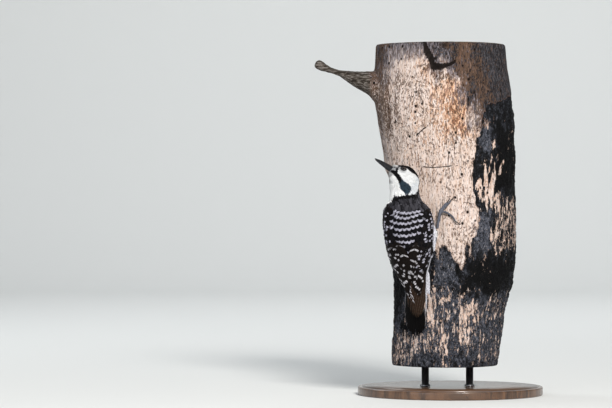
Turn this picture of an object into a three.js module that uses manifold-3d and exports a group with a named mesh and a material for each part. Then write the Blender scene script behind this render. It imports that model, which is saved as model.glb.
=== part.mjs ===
// A red-cockaded woodpecker clinging to a cut length of dead pine, on a plain display stand.
// Millimetres, +Z up. The origin is the middle of the stand base's underside, on the floor. +Y runs away
// from the viewer and into the trunk, +X to the viewer's right.
// The bird has a frame of its own: +X to its right, +Y forward (its belly faces the trunk), +Z up.
import * as THREE from "three";
import { mergeVertices } from "three/addons/utils/BufferGeometryUtils.js";
import Module from "manifold-3d";

const wasm = await Module();
wasm.setup();

// ---------------------------------------------------------------- driving dimensions
const GAP = 0.3; // clearance that every piece keeps from its neighbours
const degrees = THREE.MathUtils.degToRad;

// Stand: a flat round base and two short rods under the trunk.
const BASE_RADIUS = 100;
const BASE_THICKNESS = 9;
const BASE_BEVEL = 1.5;
const ROD_RADIUS = 4;
const ROD_SPREAD = 24;

// Trunk: a weathered snag with a slight lean and a waist, as height, centre offset to the right and radius.
const PERCH_BOTTOM = 32;
const PERCH_TOP = 378;
const PERCH_STATIONS = [
  { at: 32, centre: -5, radius: 57.5 },
  { at: 60, centre: -3, radius: 59.5 },
  { at: 91, centre: -1.5, radius: 60.5 },
  { at: 112, centre: 1.5, radius: 64 },
  { at: 134, centre: 3.2, radius: 66.5 },
  { at: 190, centre: 1.7, radius: 68.7 },
  { at: 250, centre: -0.3, radius: 70.6 },
  { at: 285, centre: -2.5, radius: 72.8 },
  { at: 306, centre: -5.5, radius: 75.4 },
  { at: 330, centre: -8, radius: 73 },
  { at: 378, centre: -10, radius: 70 },
];
// The broken branch stub on the trunk's left: its middle line and radius, from the swollen root to the knobbed tip.
const STUB_STATIONS = [
  { x: -56, y: -6, z: 322, radius: 26 },
  { x: -80, y: -8, z: 334.5, radius: 15 },
  { x: -96, y: -9, z: 339, radius: 11 },
  { x: -109, y: -9, z: 343.3, radius: 6.8 },
  { x: -119, y: -9, z: 347, radius: 3.6 },
  { x: -129, y: -9, z: 350, radius: 3.3 },
  { x: -139, y: -9, z: 354.5, radius: 5 },
  { x: -146, y: -9, z: 358.5, radius: 5.6 },
];

// The bird: where its middle line stands beside the trunk, and how far it is turned to its right.
const BIRD_AT = new THREE.Vector3(-48.3, -90, 0);
const BIRD_TURN = degrees(-14);

// Torso under the wings, by height: its middle (x, y), half width, and depth to the back and to the belly.
const TORSO_STATIONS = [
  { at: 99, x: 0, y: 31, half: 4, back: 3, belly: 2.5 },
  { at: 109, x: 0, y: 26.5, half: 7.2, back: 6, belly: 5 },
  { at: 121, x: 0, y: 19.8, half: 11, back: 10.6, belly: 8 },
  { at: 132, x: 0, y: 13.5, half: 14.5, back: 14.5, belly: 12 },
  { at: 146, x: 0, y: 8, half: 18.5, back: 18, belly: 17.5 },
  { at: 160, x: 0, y: 4, half: 21.5, back: 20, belly: 21 },
  { at: 175, x: 0, y: 1, half: 23.3, back: 20.5, belly: 22.5 },
  { at: 190, x: 0, y: -0.5, half: 23.8, back: 20, belly: 21.5 },
  { at: 203, x: -1, y: -1, half: 21, back: 17.8, belly: 18 },
  { at: 215, x: -3, y: -1.3, half: 16, back: 14, belly: 15 },
];
const TORSO_BOTTOM = 98;
const TORSO_TOP = 214;

// Neck, from inside the torso to inside the turned head.
const NECK_STATIONS = [
  { at: 190, x: 0, y: -0.5, half: 21, back: 18, belly: 19 },
  { at: 204, x: -1.6, y: -1, half: 19, back: 16.6, belly: 17.4 },
  { at: 217, x: -3.8, y: -1.5, half: 15.9, back: 14.6, belly: 15 },
  { at: 226, x: -4.6, y: -2.2, half: 15.6, back: 14.2, belly: 14.6 },
  { at: 233, x: -4.8, y: -2.7, half: 14, back: 12.8, belly: 12.8 },
  { at: 240, x: -5, y: -3, half: 9, back: 8.5, belly: 8.5 },
];
const NECK_CUT_LOW = 209; // height where the neck meets the torso
const NECK_CUT_HIGH = 221; // height where the neck meets the head

// Head: centre and attitude. It looks back over the left shoulder with the bill raised and the crown rolled away.
const HEAD_AT = new THREE.Vector3(-4.7, -3, 232.8);
const HEAD_TURN = degrees(119);
const HEAD_RAISE = degrees(37);
const HEAD_ROLL = degrees(22);
// Head sections from nape (negative) to the root of the bill: half width, height of crown and depth of throat.
const HEAD_STATIONS = [
  { at: -17.8, half: 5, crown: 5, throat: 5 },
  { at: -14.5, half: 9.4, crown: 9.2, throat: 9.6 },
  { at: -8, half: 12.8, crown: 13.2, throat: 13.4 },
  { at: 0, half: 13.3, crown: 14.8, throat: 14.4 },
  { at: 7, half: 11.2, crown: 12.6, throat: 13.2 },
  { at: 12, half: 8.2, crown: 9, throat: 10.6 },
  { at: 15.5, half: 5.4, crown: 5.2, throat: 7.6 },
  { at: 18, half: 3.4, crown: 2.6, throat: 4.6 },
];
const BILL_ROOT = 11.5; // inside the head
const BILL_TIP = 36.8;
const BILL_SPLIT = -0.6; // height of the line between the two halves of the bill
const BILL_HALF_WIDTH = 3.3;
const UPPER_BILL_DEPTH = 3.9;
const LOWER_BILL_DEPTH = 2.7;
const LOWER_BILL_SHORTER = 1.2;
const EYE_RADIUS = 2.8;
const EYE_AT = { forward: 7.2, side: 8.6, up: 3.2 };

// Folded wings: bed that they lie on, past the end of the torso and on over the tail.
const WING_BED_STATIONS = [
  { at: 82, x: 0.4, y: 36, half: 7.5, back: 6, belly: 2 },
  { at: 96, x: 0.6, y: 30.5, half: 9, back: 8, belly: 3 },
  { at: 108, x: 0.9, y: 25.5, half: 10, back: 10, belly: 5 },
  { at: 120, x: 0.6, y: 20.2, half: 11.6, back: 12.5, belly: 8 },
  ...TORSO_STATIONS.filter((station) => station.at >= 132),
];
const WING_TOP = 208;
const WING_TIP = 85;
// Angles round the body, from the middle of the back, of the wing's inner and outer edges.
const WING_SPAN_STATIONS = [
  { at: 85, inner: 4, outer: 28 },
  { at: 92, inner: 2.5, outer: 60 },
  { at: 104, inner: 2, outer: 80 },
  { at: 120, inner: 2, outer: 94 },
  { at: 139, inner: 2.5, outer: 104 },
  { at: 147, inner: 10, outer: 107 },
  { at: 157, inner: 25, outer: 109 },
  { at: 170, inner: 36, outer: 110 },
  { at: 190, inner: 41, outer: 106 },
  { at: 202, inner: 48, outer: 96 },
  { at: 208, inner: 60, outer: 84 },
];
const WING_THICKNESS = 2.9;
const WING_TIP_THICKNESS = 1.5;
const WING_LIFT = 0.6; // how far the wing's underside stands off its bed

// Tail: centre line from inside the rump to the tips braced on the trunk.
const TAIL_LINE = [
  new THREE.Vector3(0, 8.5, 136),
  new THREE.Vector3(0, 17.5, 118),
  new THREE.Vector3(0, 27.3, 97.5),
  new THREE.Vector3(-0.4, 36, 79),
  new THREE.Vector3(-0.7, 41.4, 65.2),
];
const TAIL_HALF_WIDTH = 11.2;
const TAIL_ROOT_HALF_WIDTH = 8;
const TAIL_THICKNESS = 3.4;
const TAIL_TIP_THICKNESS = 1.5;
const TAIL_STEP_BACK = 0.14; // how much shorter the outermost feathers are, as a share of the length

// Legs. A foot grips the trunk at an angle round it from the viewer's side and a height.
const FOOT_STANDOFF = 4.2;
const HEEL_STANDOFF = 8.8;
const LEGS = {
  right: {
    side: 1,
    knee: new THREE.Vector3(14.5, 8.5, 147),
    thighMiddle: new THREE.Vector3(22, 13.2, 163),
    heel: { angle: degrees(-14.6), height: 179.6 },
    foot: { angle: degrees(-12.2), height: 198.5 },
    toes: [
      { name: "1", heading: 186, bend: 0, length: 6.5, claw: 5 },
      { name: "2", heading: 27, bend: 10, length: 11.5, claw: 6.2 },
      { name: "3", heading: 52, bend: -8, length: 15.8, claw: 7 },
      { name: "4", heading: 92, bend: 34, length: 18.5, claw: 7 },
    ],
  },
  left: {
    side: -1,
    knee: new THREE.Vector3(-12.5, 10, 147),
    thighMiddle: new THREE.Vector3(-17.2, 18.6, 160.5),
    heel: { angle: degrees(-46), height: 176 },
    foot: { angle: degrees(-51), height: 194.5 },
    toes: [
      { name: "1", heading: 174, bend: 0, length: 6.5, claw: 5 },
      { name: "2", heading: -16, bend: -8, length: 11.5, claw: 6.2 },
      { name: "3", heading: -38, bend: 8, length: 16.5, claw: 7.2 },
      { name: "4", heading: -98, bend: -20, length: 18, claw: 7 },
    ],
  },
};
const THIGH_RADIUS = 6.6;
const HEEL_RADIUS = 2.5;
const TARSUS_RADIUS = 1.4;
const FOOT_RADIUS = 2;
const TOE_RADIUS = 1.25;
const TOE_END_RADIUS = 0.95;
const CLAW_RADIUS = 0.8;

// ---------------------------------------------------------------- surface finishes
const finish = (color, roughness, metalness = 0) => new THREE.MeshStandardMaterial({ color, roughness, metalness });
const PLUMAGE_DARK = finish(0x1d1a1a, 0.75);
const PLUMAGE_WHITE = finish(0xe8e8ea, 0.8);
const PLUMAGE_BARRED = finish(0x2a2626, 0.75);
const BILL_HORN = finish(0x2f3338, 0.4);
const EYE_DARK = finish(0x120c0a, 0.1);
const LEG_SKIN = finish(0x6f7378, 0.6);
const CLAW_HORN = finish(0x3a3733, 0.4);
const SNAG_WOOD = finish(0xb9a48f, 0.85);
const STAND_WOOD = finish(0x3a2c24, 0.5);
const ROD_STEEL = finish(0x8d9094, 0.3, 1);

// ---------------------------------------------------------------- curves, lofts and solids
const mix = THREE.MathUtils.lerp;
const clamp = THREE.MathUtils.clamp;

/** A smooth function through rows of named values; each row's `at` is where it applies. */
function through(rows) {
  const names = Object.keys(rows[0]).filter((name) => name !== "at");
  const places = rows.map((row) => row.at);
  const samples = rows.flatMap((row) => names.map((name) => row[name]));
  const curve = new THREE.CubicInterpolant(places, samples, names.length);
  return (at) => {
    const values = curve.evaluate(clamp(at, places[0], places[places.length - 1]));
    return Object.fromEntries(names.map((name, i) => [name, values[i]]));
  };
}

/** 0 at both ends of a loft and 1 between them, rising as a quarter circle over `share` of its length. */
function roundedEnds(along, share) {
  const fromEnd = Math.max(0, Math.min(along, 1 - along, share)) / share;
  return Math.sqrt(1 - (1 - fromEnd) ** 2);
}

/** Spreads even steps from 0 to 1 so that they lie closer together near both ends. */
const closerAtEnds = (share) => (1 - Math.cos(share * Math.PI)) / 2;

/** A closed loft: each ring is an ellipse whose centre, axes and radii section(0..1) gives. */
function loft(section, sides, rings) {
  const geometry = new THREE.SphereGeometry(1, sides, rings);
  const position = geometry.getAttribute("position");
  const point = new THREE.Vector3();
  for (let i = 0; i < position.count; i++) {
    point.fromBufferAttribute(position, i);
    const along = Math.acos(clamp(point.y, -1, 1)) / Math.PI;
    const angle = Math.atan2(point.z, point.x);
    const { centre, right, up, half, above, below } = section(along);
    const height = Math.sin(angle) * (Math.sin(angle) > 0 ? above : below);
    point.copy(centre).addScaledVector(right, Math.cos(angle) * half).addScaledVector(up, height);
    position.setXYZ(i, point.x, point.y, point.z);
  }
  return geometry;
}

/** An upright loft through stations of x, y, half, back and belly, grown all round by `grow`. */
function uprightLoft(stations, bottom, top, endShare, sides, rings, grow = 0) {
  const at = through(stations);
  const right = new THREE.Vector3(1, 0, 0);
  const forward = new THREE.Vector3(0, 1, 0);
  return loft(
    (along) => {
      const height = mix(bottom - grow, top + grow, closerAtEnds(along));
      const ring = at(height);
      const round = roundedEnds((height - bottom + grow) / (top - bottom + 2 * grow), endShare);
      return {
        centre: new THREE.Vector3(ring.x, ring.y, height),
        right,
        up: forward,
        half: (ring.half + grow) * round,
        above: (ring.belly + grow) * round,
        below: (ring.back + grow) * round,
      };
    },
    sides,
    rings,
  );
}

/** A round tube along points, with radius(0..1), closed by rounded ends. */
function tube(points, radius, sides, rings, endShare = 0.12) {
  const curve = new THREE.CatmullRomCurve3(points);
  const reference = new THREE.Vector3(0.31, -0.93, 0.2).normalize();
  return loft(
    (ringShare) => {
      const along = closerAtEnds(ringShare);
      const tangent = curve.getTangent(along);
      const right = new THREE.Vector3().crossVectors(tangent, reference).normalize();
      const up = new THREE.Vector3().crossVectors(right, tangent);
      const size = radius(along) * roundedEnds(along, endShare);
      return { centre: curve.getPoint(along), right, up, half: size, above: size, below: size };
    },
    sides,
    rings,
  );
}

/** A plate whose outline and faces come from place(across, along, face), all three from -0.5 to 0.5. */
function plate(place, across, along) {
  const geometry = new THREE.BoxGeometry(1, 1, 1, across, along, 1);
  const position = geometry.getAttribute("position");
  for (let i = 0; i < position.count; i++) {
    const point = place(position.getX(i), position.getY(i), position.getZ(i));
    position.setXYZ(i, point.x, point.y, point.z);
  }
  return geometry;
}

/** A geometry as a solid for joining and cutting, with its faces turned outwards. */
function solid(geometry) {
  const bare = new THREE.BufferGeometry();
  bare.setAttribute("position", geometry.getAttribute("position"));
  bare.setIndex(geometry.getIndex());
  const merged = mergeVertices(bare, 1e-4);
  const corners = new Uint32Array(merged.getIndex().array);
  const vertProperties = new Float32Array(merged.getAttribute("position").array);
  const made = new wasm.Manifold(new wasm.Mesh({ numProp: 3, vertProperties, triVerts: corners }));
  if (made.volume() > 0) return made;
  for (let i = 0; i < corners.length; i += 3) {
    [corners[i + 1], corners[i + 2]] = [corners[i + 2], corners[i + 1]];
  }
  return new wasm.Manifold(new wasm.Mesh({ numProp: 3, vertProperties, triVerts: corners }));
}

/** The largest body of a solid, which leaves out slivers that a cut may shed. */
function mainBody(made) {
  return made.decompose().reduce((best, body) => (body.volume() > best.volume() ? body : best));
}

/** A named mesh from a solid or a geometry. */
function piece(name, shape, material) {
  let geometry = shape;
  if (!shape.isBufferGeometry) {
    const { vertProperties, triVerts } = mainBody(shape).getMesh();
    geometry = new THREE.BufferGeometry();
    geometry.setAttribute("position", new THREE.BufferAttribute(new Float32Array(vertProperties), 3));
    geometry.setIndex(new THREE.BufferAttribute(new Uint32Array(triVerts), 1));
    geometry.computeVertexNormals();
  }
  const mesh = new THREE.Mesh(geometry, material);
  mesh.name = name;
  return mesh;
}

/** The two halves of a solid above and below a level, with the clearance between them. */
function splitAtHeight(made, height) {
  const reach = 600;
  const block = new THREE.BoxGeometry(reach, reach, reach);
  const above = block.clone().translate(0, 0, height + GAP / 2 + reach / 2);
  const below = block.translate(0, 0, height - GAP / 2 - reach / 2);
  return [made.intersect(solid(above)), made.intersect(solid(below))];
}

// ---------------------------------------------------------------- trunk and stand
const perchAt = through(PERCH_STATIONS);

/** Radius of the trunk at an angle round it from the viewer's side, with shallow flutes and swellings. */
function perchRadius(angle, height) {
  const flutes = 0.9 * Math.sin(3 * angle + height / 60) + 0.5 * Math.sin(7 * angle - height / 45);
  return perchAt(height).radius + flutes;
}

/** A point at a distance off the trunk's bark, in the stand's frame. */
function offPerch(angle, height, distance) {
  const radius = perchRadius(angle, height) + distance;
  return new THREE.Vector3(perchAt(height).centre + radius * Math.sin(angle), -radius * Math.cos(angle), height);
}

/** The trunk as a cut log, larger all round by `grow`. */
function trunkLog(sides, rows, grow = 0) {
  const geometry = new THREE.CylinderGeometry(1, 1, 1, sides, rows);
  geometry.rotateX(Math.PI / 2);
  const position = geometry.getAttribute("position");
  for (let i = 0; i < position.count; i++) {
    const height = mix(PERCH_BOTTOM, PERCH_TOP, position.getZ(i) + 0.5);
    const x = position.getX(i);
    const y = position.getY(i);
    const middle = Math.hypot(x, y) < 0.5;
    const point = offPerch(Math.atan2(x, -y), height, grow);
    if (middle) point.set(perchAt(height).centre, 0, height);
    position.setXYZ(i, point.x, point.y, point.z);
  }
  return geometry;
}

function branchStub() {
  const at = through(STUB_STATIONS.map((station, i) => ({ at: i / (STUB_STATIONS.length - 1), ...station })));
  const line = STUB_STATIONS.map(({ x, y, z }) => new THREE.Vector3(x, y, z));
  return tube(line, (along) => at(along).radius, 12, 15, 0.05);
}

const perch = solid(trunkLog(40, 12)).add(solid(branchStub()));

function standBase() {
  const rim = BASE_RADIUS;
  const profile = [
    new THREE.Vector2(0, 0),
    new THREE.Vector2(rim, 0),
    new THREE.Vector2(rim, BASE_THICKNESS - BASE_BEVEL),
    new THREE.Vector2(rim - BASE_BEVEL, BASE_THICKNESS),
    new THREE.Vector2(0, BASE_THICKNESS),
  ];
  return new THREE.LatheGeometry(profile, 40).rotateX(Math.PI / 2);
}

function standRod(side) {
  const length = PERCH_BOTTOM - BASE_THICKNESS - 2 * GAP;
  const rod = new THREE.CylinderGeometry(ROD_RADIUS, ROD_RADIUS, length, 20).rotateX(Math.PI / 2);
  return rod.translate(side * ROD_SPREAD - 3, 0, (PERCH_BOTTOM + BASE_THICKNESS) / 2);
}

// ---------------------------------------------------------------- the bird's frame
const bird = new THREE.Group();
bird.position.copy(BIRD_AT);
bird.rotation.z = BIRD_TURN;
bird.updateMatrixWorld(true);
const toBird = (point) => bird.worldToLocal(point);
const intoBirdFrame = new THREE.Matrix4().copy(bird.matrixWorld).invert();
const perchForBird = solid(trunkLog(40, 12, GAP).applyMatrix4(intoBirdFrame));

// ---------------------------------------------------------------- head, neck and torso
const headMatrix = (() => {
  const ahead = new THREE.Vector3(
    -Math.sin(HEAD_TURN) * Math.cos(HEAD_RAISE),
    Math.cos(HEAD_TURN) * Math.cos(HEAD_RAISE),
    Math.sin(HEAD_RAISE),
  );
  const level = new THREE.Vector3().crossVectors(new THREE.Vector3(0, 0, 1), ahead).normalize();
  const crown = new THREE.Vector3().crossVectors(ahead, level).applyAxisAngle(ahead, HEAD_ROLL);
  const left = new THREE.Vector3().crossVectors(crown, ahead);
  return new THREE.Matrix4().makeBasis(ahead, left, crown).setPosition(HEAD_AT);
})();

/** A geometry made in the head's frame (+X along the bill, +Y left, +Z to the crown), moved into the bird's. */
const onHead = (geometry) => geometry.applyMatrix4(headMatrix);

function headShape() {
  const at = through(HEAD_STATIONS);
  const [from, to] = [HEAD_STATIONS[0].at - 0.6, HEAD_STATIONS[HEAD_STATIONS.length - 1].at + 0.4];
  return onHead(
    loft(
      (along) => {
        const forward = mix(from, to, closerAtEnds(along));
        const ring = at(forward);
        const round = roundedEnds(closerAtEnds(along), 0.05);
        return {
          centre: new THREE.Vector3(forward, 0, 0),
          right: new THREE.Vector3(0, 1, 0),
          up: new THREE.Vector3(0, 0, 1),
          half: ring.half * round,
          above: ring.crown * round,
          below: ring.throat * round,
        };
      },
      20,
      14,
    ),
  );
}

/** One half of the bill: a straight wedge that ends in a narrow chisel. */
function billHalf(depth, tip, isUpper, grow = 0) {
  const level = BILL_SPLIT + (isUpper ? GAP / 2 + 0.15 : -GAP / 2 - 0.15);
  const flat = 0.15 + grow;
  return onHead(
    loft(
      (along) => {
        const width = mix(BILL_HALF_WIDTH, 0.75, along ** 0.85) + grow;
        const round = roundedEnds(along, 0.06);
        const full = (mix(depth, 0.45, along ** 1.1) + grow) * round;
        return {
          centre: new THREE.Vector3(mix(BILL_ROOT - grow, tip + grow, along), 0, level),
          right: new THREE.Vector3(0, 1, 0),
          up: new THREE.Vector3(0, 0, 1),
          half: width * round,
          above: isUpper ? full : flat * round,
          below: isUpper ? flat * round : full,
        };
      },
      10,
      7,
    ),
  );
}

function eyeball(side, grow = 0) {
  const ball = new THREE.SphereGeometry(EYE_RADIUS + grow, 12, 8);
  return onHead(ball.translate(EYE_AT.forward, side * EYE_AT.side, EYE_AT.up));
}

const upperBill = solid(billHalf(UPPER_BILL_DEPTH, BILL_TIP, true));
const lowerBill = solid(billHalf(LOWER_BILL_DEPTH, BILL_TIP - LOWER_BILL_SHORTER, false));
const billRecess = solid(billHalf(UPPER_BILL_DEPTH, BILL_TIP, true, GAP)).add(
  solid(billHalf(LOWER_BILL_DEPTH, BILL_TIP - LOWER_BILL_SHORTER, false, GAP)),
);
const eyes = { left: solid(eyeball(1)), right: solid(eyeball(-1)) };
const sockets = solid(eyeball(1, GAP)).add(solid(eyeball(-1, GAP)));

const torsoLoft = (grow) => uprightLoft(TORSO_STATIONS, TORSO_BOTTOM, TORSO_TOP, 0.05, 24, 17, grow);
const neckLoft = (grow) => uprightLoft(NECK_STATIONS, 192, 241, 0.12, 22, 10, grow);
const flesh = solid(torsoLoft(0)).add(solid(neckLoft(0))).add(solid(headShape()));
const fleshWithClearance = solid(torsoLoft(GAP)).add(solid(neckLoft(GAP)));
const [aboveNeck, torso] = splitAtHeight(flesh, NECK_CUT_LOW);
const [headWhole, neck] = splitAtHeight(aboveNeck, NECK_CUT_HIGH);
const head = headWhole.subtract(billRecess).subtract(sockets);

// ---------------------------------------------------------------- wings and tail
const wingBed = through(WING_BED_STATIONS);
const wingSpan = through(WING_SPAN_STATIONS);

/** A point over the wing's bed at an angle from the middle of the back, in degrees, and a distance off it. */
function overBed(height, angle, distance, side) {
  const bed = wingBed(height);
  const turn = degrees(angle);
  const depth = Math.cos(turn) > 0 ? bed.back : bed.belly;
  return new THREE.Vector3(
    bed.x + side * (bed.half + distance) * Math.sin(turn),
    bed.y - (depth + distance) * Math.cos(turn),
    height,
  );
}

function wingPlate(side, grow = 0) {
  return plate(
    (acrossShare, alongShare, face) => {
      const height = mix(WING_TIP - grow, WING_TOP + grow, alongShare + 0.5);
      const span = wingSpan(height);
      const angle = mix(span.inner, span.outer, acrossShare + 0.5) + 2 * acrossShare * grow * 2.5;
      const edge = Math.sqrt(Math.max(0, 1 - (2 * acrossShare) ** 4));
      const full = mix(WING_TIP_THICKNESS, WING_THICKNESS, clamp((height - WING_TIP) / 60, 0, 1));
      const topEdge = clamp((WING_TOP + 1.5 - height) / 7, 0.35, 1);
      const thickness = Math.max(0.8, full * edge * topEdge);
      const distance = face > 0 ? WING_LIFT + thickness + grow : WING_LIFT - grow;
      return overBed(height, Math.max(angle, 1.2), distance, side);
    },
    7,
    17,
  );
}

const tailCurve = new THREE.CatmullRomCurve3(TAIL_LINE);
function tailPlate(grow = 0) {
  return plate(
    (acrossShare, alongShare, face) => {
      const across = 2 * acrossShare;
      const notch = 0.035 * Math.exp(-((across / 0.1) ** 2));
      const reach = 1 - TAIL_STEP_BACK * Math.abs(across) ** 1.6 - notch;
      const along = (0.5 - alongShare) * reach;
      const centre = tailCurve.getPoint(along);
      const tangent = tailCurve.getTangent(along);
      const outward = new THREE.Vector3(0, tangent.z, -tangent.y).normalize();
      const spread = mix(TAIL_ROOT_HALF_WIDTH, TAIL_HALF_WIDTH, Math.sin(Math.min(1, along * 2) * Math.PI * 0.5));
      const taper = 1 - 0.22 * clamp((along - 0.6) / 0.4, 0, 1);
      const thickness = mix(TAIL_THICKNESS, TAIL_TIP_THICKNESS, along);
      const droop = 1.6 * across ** 2;
      centre.x += across * (spread * taper + grow);
      centre.addScaledVector(outward, (face > 0 ? 1 : -1) * (thickness / 2 + grow) - droop);
      return centre;
    },
    10,
    8,
  );
}

const wings = { left: solid(wingPlate(-1)), right: solid(wingPlate(1)) };
const wingsWithClearance = solid(wingPlate(-1, GAP)).add(solid(wingPlate(1, GAP)));
const tail = solid(tailPlate()).subtract(fleshWithClearance).subtract(wingsWithClearance).subtract(perchForBird);

// ---------------------------------------------------------------- legs and feet
const footJoint = (leg) => toBird(offPerch(leg.foot.angle, leg.foot.height, FOOT_STANDOFF));
const heelJoint = (leg) => toBird(offPerch(leg.heel.angle, leg.heel.height, HEEL_STANDOFF));

/** The feathered shank, from the flank down into the body up to the bare heel. */
function thigh(leg, grow = 0) {
  const radius = (along) => mix(THIGH_RADIUS, HEEL_RADIUS, along ** 1.25) + grow;
  return tube([leg.knee, leg.thighMiddle, heelJoint(leg)], radius, 12, 8, 0.16);
}

function tarsus(leg, grow = 0) {
  const heel = heelJoint(leg);
  const foot = footJoint(leg);
  const middle = heel.clone().lerp(foot, 0.5).add(new THREE.Vector3(0, -0.6, 0));
  const radius = (along) => {
    const shaft = TARSUS_RADIUS + 0.5 * (2 * along - 1) ** 2;
    return mix(shaft, FOOT_RADIUS, clamp((along - 0.85) / 0.15, 0, 1)) + grow;
  };
  return tube([heel, middle, foot], radius, 8, 8, 0.1);
}

/** A point on the way of a toe: a distance from the foot's joint on a heading from straight up, and off the bark. */
function alongToe(leg, heading, distance, standoff) {
  const height = leg.foot.height + distance * Math.cos(heading);
  const radius = perchAt(height).radius;
  return toBird(offPerch(leg.foot.angle + (distance * Math.sin(heading)) / radius, height, standoff));
}

/** A toe's way over the bark: down from the foot's joint, over its knuckles to the root of the claw. */
function toeLine(leg, toe) {
  const shares = [0.08, 0.38, 0.7, 1];
  const standoffs = [3.6, 2.9, 2.5, 1.9];
  return shares.map((share, i) => {
    const heading = degrees(toe.heading + toe.bend * share);
    return alongToe(leg, heading, toe.length * share, standoffs[i]);
  });
}

function toeTube(leg, toe, grow = 0) {
  const knuckles = (along) => 0.12 * Math.cos(along * Math.PI * 6);
  const radius = (along) => mix(TOE_RADIUS, TOE_END_RADIUS, along) + knuckles(along) + grow;
  return tube(toeLine(leg, toe), radius, 8, 10, 0.12);
}

function clawTube(leg, toe) {
  const heading = degrees(toe.heading + toe.bend);
  const standoffs = [2, 2.7, 1.9, -0.4];
  const line = standoffs.map((standoff, i) => {
    return alongToe(leg, heading, toe.length - 0.6 + (toe.claw * i) / 3, standoff);
  });
  return tube(line, (along) => mix(CLAW_RADIUS, 0.3, along), 7, 7, 0.1);
}

function legPieces(name, leg) {
  const thighSolid = solid(thigh(leg)).subtract(fleshWithClearance).subtract(wingsWithClearance);
  const tarsusSolid = solid(tarsus(leg)).subtract(solid(thigh(leg, GAP)));
  const pieces = [
    piece(`thigh_${name}`, thighSolid, PLUMAGE_WHITE),
    piece(`tarsus_${name}`, tarsusSolid.subtract(perchForBird), LEG_SKIN),
  ];
  let taken = solid(tarsus(leg, GAP)).add(perchForBird);
  for (const toe of leg.toes) {
    const toeSolid = solid(toeTube(leg, toe)).subtract(taken);
    taken = taken.add(solid(toeTube(leg, toe, GAP)));
    pieces.push(piece(`toe_${name}_${toe.name}`, toeSolid, LEG_SKIN));
  }
  for (const toe of leg.toes) {
    pieces.push(piece(`claw_${name}_${toe.name}`, solid(clawTube(leg, toe)).subtract(taken), CLAW_HORN));
  }
  return pieces;
}

// ---------------------------------------------------------------- the whole
bird.add(
  piece("head", head, PLUMAGE_WHITE),
  piece("bill_upper", upperBill, BILL_HORN),
  piece("bill_lower", lowerBill, BILL_HORN),
  piece("eye_left", eyes.left, EYE_DARK),
  piece("eye_right", eyes.right, EYE_DARK),
  piece("neck", neck, PLUMAGE_WHITE),
  piece("torso", torso, PLUMAGE_BARRED),
  piece("wing_left", wings.left, PLUMAGE_DARK),
  piece("wing_right", wings.right, PLUMAGE_DARK),
  piece("tail", tail, PLUMAGE_DARK),
);
for (const [name, leg] of Object.entries(LEGS)) {
  bird.add(...legPieces(name, leg));
}

const mount = new THREE.Group();
mount.add(
  piece("perch_trunk", perch, SNAG_WOOD),
  piece("stand_base", standBase(), STAND_WOOD),
  piece("stand_rod_left", standRod(-1), ROD_STEEL),
  piece("stand_rod_right", standRod(1), ROD_STEEL),
);

const model = new THREE.Group();
model.add(mount, bird);
export default model;
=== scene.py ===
"""Looks of a life-size museum model: a red-cockaded woodpecker on a length of charred snag with a stand.

Every class builds one sub-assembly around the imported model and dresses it. Until a mesh is made, lengths
are millimetres in the bird's own axes: x to its right, y to its belly, z up the trunk. Meshes are metres in
the frame's axes.
"""

import logging
import math
from collections.abc import Callable, Iterable, Mapping, Sequence
from dataclasses import dataclass, field
from enum import Enum

import bmesh
import bpy
import numpy as np
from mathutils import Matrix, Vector
from mathutils.bvhtree import BVHTree


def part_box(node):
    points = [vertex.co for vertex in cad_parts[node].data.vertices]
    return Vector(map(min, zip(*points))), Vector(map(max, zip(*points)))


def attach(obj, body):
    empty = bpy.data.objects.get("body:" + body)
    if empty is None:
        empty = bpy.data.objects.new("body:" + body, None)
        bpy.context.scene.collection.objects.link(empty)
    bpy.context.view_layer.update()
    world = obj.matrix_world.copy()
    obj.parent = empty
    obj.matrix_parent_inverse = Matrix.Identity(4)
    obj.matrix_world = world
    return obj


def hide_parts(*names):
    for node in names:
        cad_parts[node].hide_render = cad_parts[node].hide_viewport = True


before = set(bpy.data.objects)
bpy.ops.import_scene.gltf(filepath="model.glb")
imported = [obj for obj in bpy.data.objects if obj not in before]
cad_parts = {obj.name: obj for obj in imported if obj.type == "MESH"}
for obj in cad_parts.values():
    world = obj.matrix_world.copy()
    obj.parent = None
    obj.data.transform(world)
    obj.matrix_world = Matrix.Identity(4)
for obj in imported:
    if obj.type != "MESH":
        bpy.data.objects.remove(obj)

log = logging.getLogger("woodpecker")
BODY = "root"
METRE = 1000.0
TINY = 1e-9

Array = np.ndarray
Numbers = np.ndarray | float
Triple = tuple[float, float, float]
Colour = Triple
Faces = list[tuple[int, ...]]
Rows = Sequence[tuple[float, ...]]
Piece = bpy.types.Object
Material = bpy.types.Material
Socket = bpy.types.NodeSocket
Settings = Mapping[str, object]
Values = Mapping[str | int, object]


# ---- numbers and axes


def unit(vectors: Array) -> Array:
    """Vectors made one long."""
    return vectors / np.maximum(np.linalg.norm(vectors, axis=-1, keepdims=True), TINY)


def ease(value: Array | float, low: float, high: float) -> Array:
    """A smooth step from 0 at low to 1 at high; it falls instead where low is the larger."""
    share = np.clip((value - low) / (high - low), 0.0, 1.0)
    return share * share * (3 - 2 * share)


def through(value: Array | float, rows: Rows) -> Array:
    """A line through (at, value) rows that are sorted by at."""
    return np.interp(value, *np.array(rows, dtype=float).T)


def dot(one: Array, two: Array) -> Array:
    """The dot product of each row, kept as a column."""
    return (one * two).sum(axis=1, keepdims=True)


@dataclass(frozen=True)
class Axes:
    """A right-handed set of axes: an origin and three unit columns."""

    origin: Array
    basis: Array

    def inward(self, points: Array) -> Array:
        """Points of the outer axes in these axes."""
        return (points - self.origin) @ self.basis

    def outward(self, points: Array) -> Array:
        """Points of these axes in the outer axes."""
        return points @ self.basis.T + self.origin

    def turn(self, vectors: Array) -> Array:
        """Directions of these axes in the outer axes."""
        return vectors @ self.basis.T


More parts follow.
